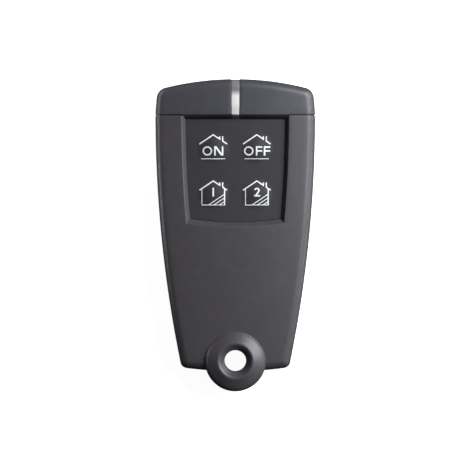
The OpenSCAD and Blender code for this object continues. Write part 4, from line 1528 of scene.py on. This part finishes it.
def laminate():
    """Solder resist over copper tracks on a glass fibre board."""
    look = Look("board_laminate")
    tracks = look.node("TexVoronoi", Vector=look.place(), Scale=1 / (TRACK_PITCH * MM))
    tracks.distance = "MANHATTAN"
    return look.surface(
        Base_Color=look.tones(tracks.outputs["Distance"], *TRACK_TONES),
        Roughness=look.spread(look.noise(size=0.8, detail=3.0), low=0.22, high=0.36),
        Normal=look.bump(tracks.outputs["Distance"], depth=0.02, strength=0.4),
    )


# Colour, then how far it varies, roughness, grain, its depth and the specular level
MOULDED = {
    "case_plastic": ((0.063, 0.0572, 0.0597),),
    "cap_plastic": ((0.0585, 0.0572, 0.063),),
    "keypad_rubber": ((0.0297, 0.0284, 0.0278), 0.05, (0.55, 0.63), 0.16, 0.004, 0.4),
    "legend_ink": ((0.87, 0.86, 0.81), 0.03, (0.5, 0.6), 0.08, 0.003),
    "switch_plastic": ((0.03, 0.03, 0.03), 0.08, (0.5, 0.6), 0.1),
    "plunger_plastic": ((0.75, 0.72, 0.62), 0.05, (0.4, 0.5), 0.1),
    "chip_resin": ((0.026, 0.026, 0.028), 0.1, (0.5, 0.65), 0.06),
    "ceramic": ((0.5, 0.36, 0.22), 0.12, (0.45, 0.6), 0.05),
    "lamp_resin": ((0.85, 0.83, 0.7), 0.04, (0.12, 0.2), 0.3, 0.002),
}
# Colour, then roughness and the stretch of the brushing
PLATED = {
    "switch_steel": ((0.62, 0.62, 0.63), (0.2, 0.34), (1, 12, 1)),
    "dome_metal": ((0.8, 0.62, 0.28),),
    "antenna_copper": ((0.72, 0.36, 0.2), (0.25, 0.4)),
    "bright_steel": ((0.6, 0.6, 0.6), (0.16, 0.3), (1, 1, 8)),
}
MATERIALS = {"board_laminate": laminate(), "pipe_plastic": milky()}
MATERIALS.update({name: moulded(name, *values) for name, values in MOULDED.items()})
MATERIALS.update({name: plated(name, *values) for name, values in PLATED.items()})


def finish_piece(piece, slot, replaced=None, body=None, look=None):
    """Give a piece its material, hide the CAD node that it stands for and hang it on the body that carries
    it.
    """
    piece.data.materials.clear()
    piece.data.materials.append(MATERIALS[look or slot])
    if replaced:
        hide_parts(replaced)
    if body:
        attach(piece, body)


# Pieces

finish_piece(front_shell(), "case_plastic", "front_shell", "case")
finish_piece(rear_shell(), "case_plastic", "rear_shell", "case")
finish_piece(end_cap(), "case_plastic", "end_cap", "case", "cap_plastic")
finish_piece(light_pipe(), "pipe_plastic", "light_pipe", "case")
finish_piece(keypad_sheet(), "keypad_rubber", "keypad_film", "case")
for k, key in enumerate(KEYS):
    finish_piece(key_pad(k), "keypad_rubber", "key_" + key, key + "_key")
    finish_piece(legend_print(k), "legend_ink", "legend_" + key, key + "_key")
    finish_piece(snap_dome(k), "dome_metal", "switch_dome_" + key, "case")
    for side in "enws":
        finish_piece(key_web(k, side), "keypad_rubber")

for part in frame["record"]["subparts"]:
    cad = frame["nodes"][part["node"]]
    cad.data.materials.clear()
    cad.data.materials.append(MATERIALS[part["material_slot"]])


# Stage, light and camera

PHOTO_MM_PER_PIXEL = 0.2404
PHOTO_PIXELS = 470
PHOTO_CENTRE = (-0.08, 0.05)
FOCUS_Z = 8.0
CAMERA_FAR = 1500.0
CAMERA_CLIP = 20000.0
SENSOR_W = 36.0
FLOOR_HALF = 2000.0
FLOOR_DROP = 0.02
FLOOR_MOTTLE = 40.0
FLOOR_GREYS = (0.78, 0.82)
FLOOR_GLOW = 0.96
WHITE = (1, 1, 1, 1)


def floor():
    """Plain pale floor that shows as white and lights nothing."""
    s = Solid()
    plan = box_plan((-FLOOR_HALF, -FLOOR_HALF), (FLOOR_HALF, FLOOR_HALF))
    s.faces.append(tuple(s.ring(plan, -FLOOR_DROP)))
    obj = s.object("floor")
    look = Look("floor_white")
    stops = zip(NOISE_SPAN, ((grey, grey, grey) for grey in FLOOR_GREYS))
    obj.data.materials.append(look.surface(
        Base_Color=look.tones(look.noise(FLOOR_MOTTLE), *stops),
        Roughness=0.9,
        Specular_IOR_Level=0.0,
        Emission_Color=WHITE,
        Emission_Strength=FLOOR_GLOW,
    ))
    obj.visible_diffuse = False
    obj.visible_glossy = False
    obj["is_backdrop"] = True


def softbox(name, azimuth, elevation, distance, size, power, colour=(1, 1, 1)):
    """Area light that faces the fob from a direction in degrees, +X being 0 and +Y 90, with sizes in mm."""
    a, e = math.radians(azimuth), math.radians(elevation)
    way = Vector((math.cos(e) * math.cos(a), math.cos(e) * math.sin(a), math.sin(e)))
    light = bpy.data.lights.new(name, "AREA")
    light.shape = "RECTANGLE"
    light.size, light.size_y = (c * MM for c in size)
    light.energy = power
    light.color = colour
    obj = bpy.data.objects.new(name, light)
    obj.location = way * distance * MM
    obj.rotation_euler = way.to_track_quat("Z", "Y").to_euler()
    obj.visible_camera = False
    bpy.context.scene.collection.objects.link(obj)


def backdrop():
    """White world that only the camera sees."""
    world = bpy.data.worlds.new("studio")
    bpy.context.scene.world = world
    world.use_nodes = True
    back = world.node_tree.nodes["Background"]
    back.inputs["Color"].default_value = WHITE
    back.inputs["Strength"].default_value = 1.0
    world.cycles_visibility.diffuse = False
    world.cycles_visibility.glossy = False
    world.cycles_visibility.transmission = False
    bpy.context.scene.view_settings.view_transform = "Standard"


def camera():
    """Camera straight above the front, as in the photograph."""
    data = bpy.data.cameras.new("camera")
    data.sensor_width = SENSOR_W
    data.lens = SENSOR_W * CAMERA_FAR / (PHOTO_PIXELS * PHOTO_MM_PER_PIXEL)
    data.clip_end = CAMERA_CLIP * MM
    obj = bpy.data.objects.new("camera", data)
    obj.location = [c * MM for c in (*PHOTO_CENTRE, FOCUS_Z + CAMERA_FAR)]
    bpy.context.scene.collection.objects.link(obj)
    bpy.context.scene.camera = obj


floor()
backdrop()
camera()
# Name, azimuth, elevation, distance, size, power and colour of each light
softbox("key_light", 30, 40, 600, (420, 400), 7.1, (0.9, 0.93, 1.0))
softbox("right_strip", 12, 5, 100, (140, 9), 0.045)
softbox("left_strip", 158, 2.2, 100, (140, 6), 0.055)
softbox("foot_strip", 270, 2, 100, (60, 4), 0.0015)

low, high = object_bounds()
{"cad": [list(cad_low), list(cad_high)], "visual": [list(low), list(high)]}
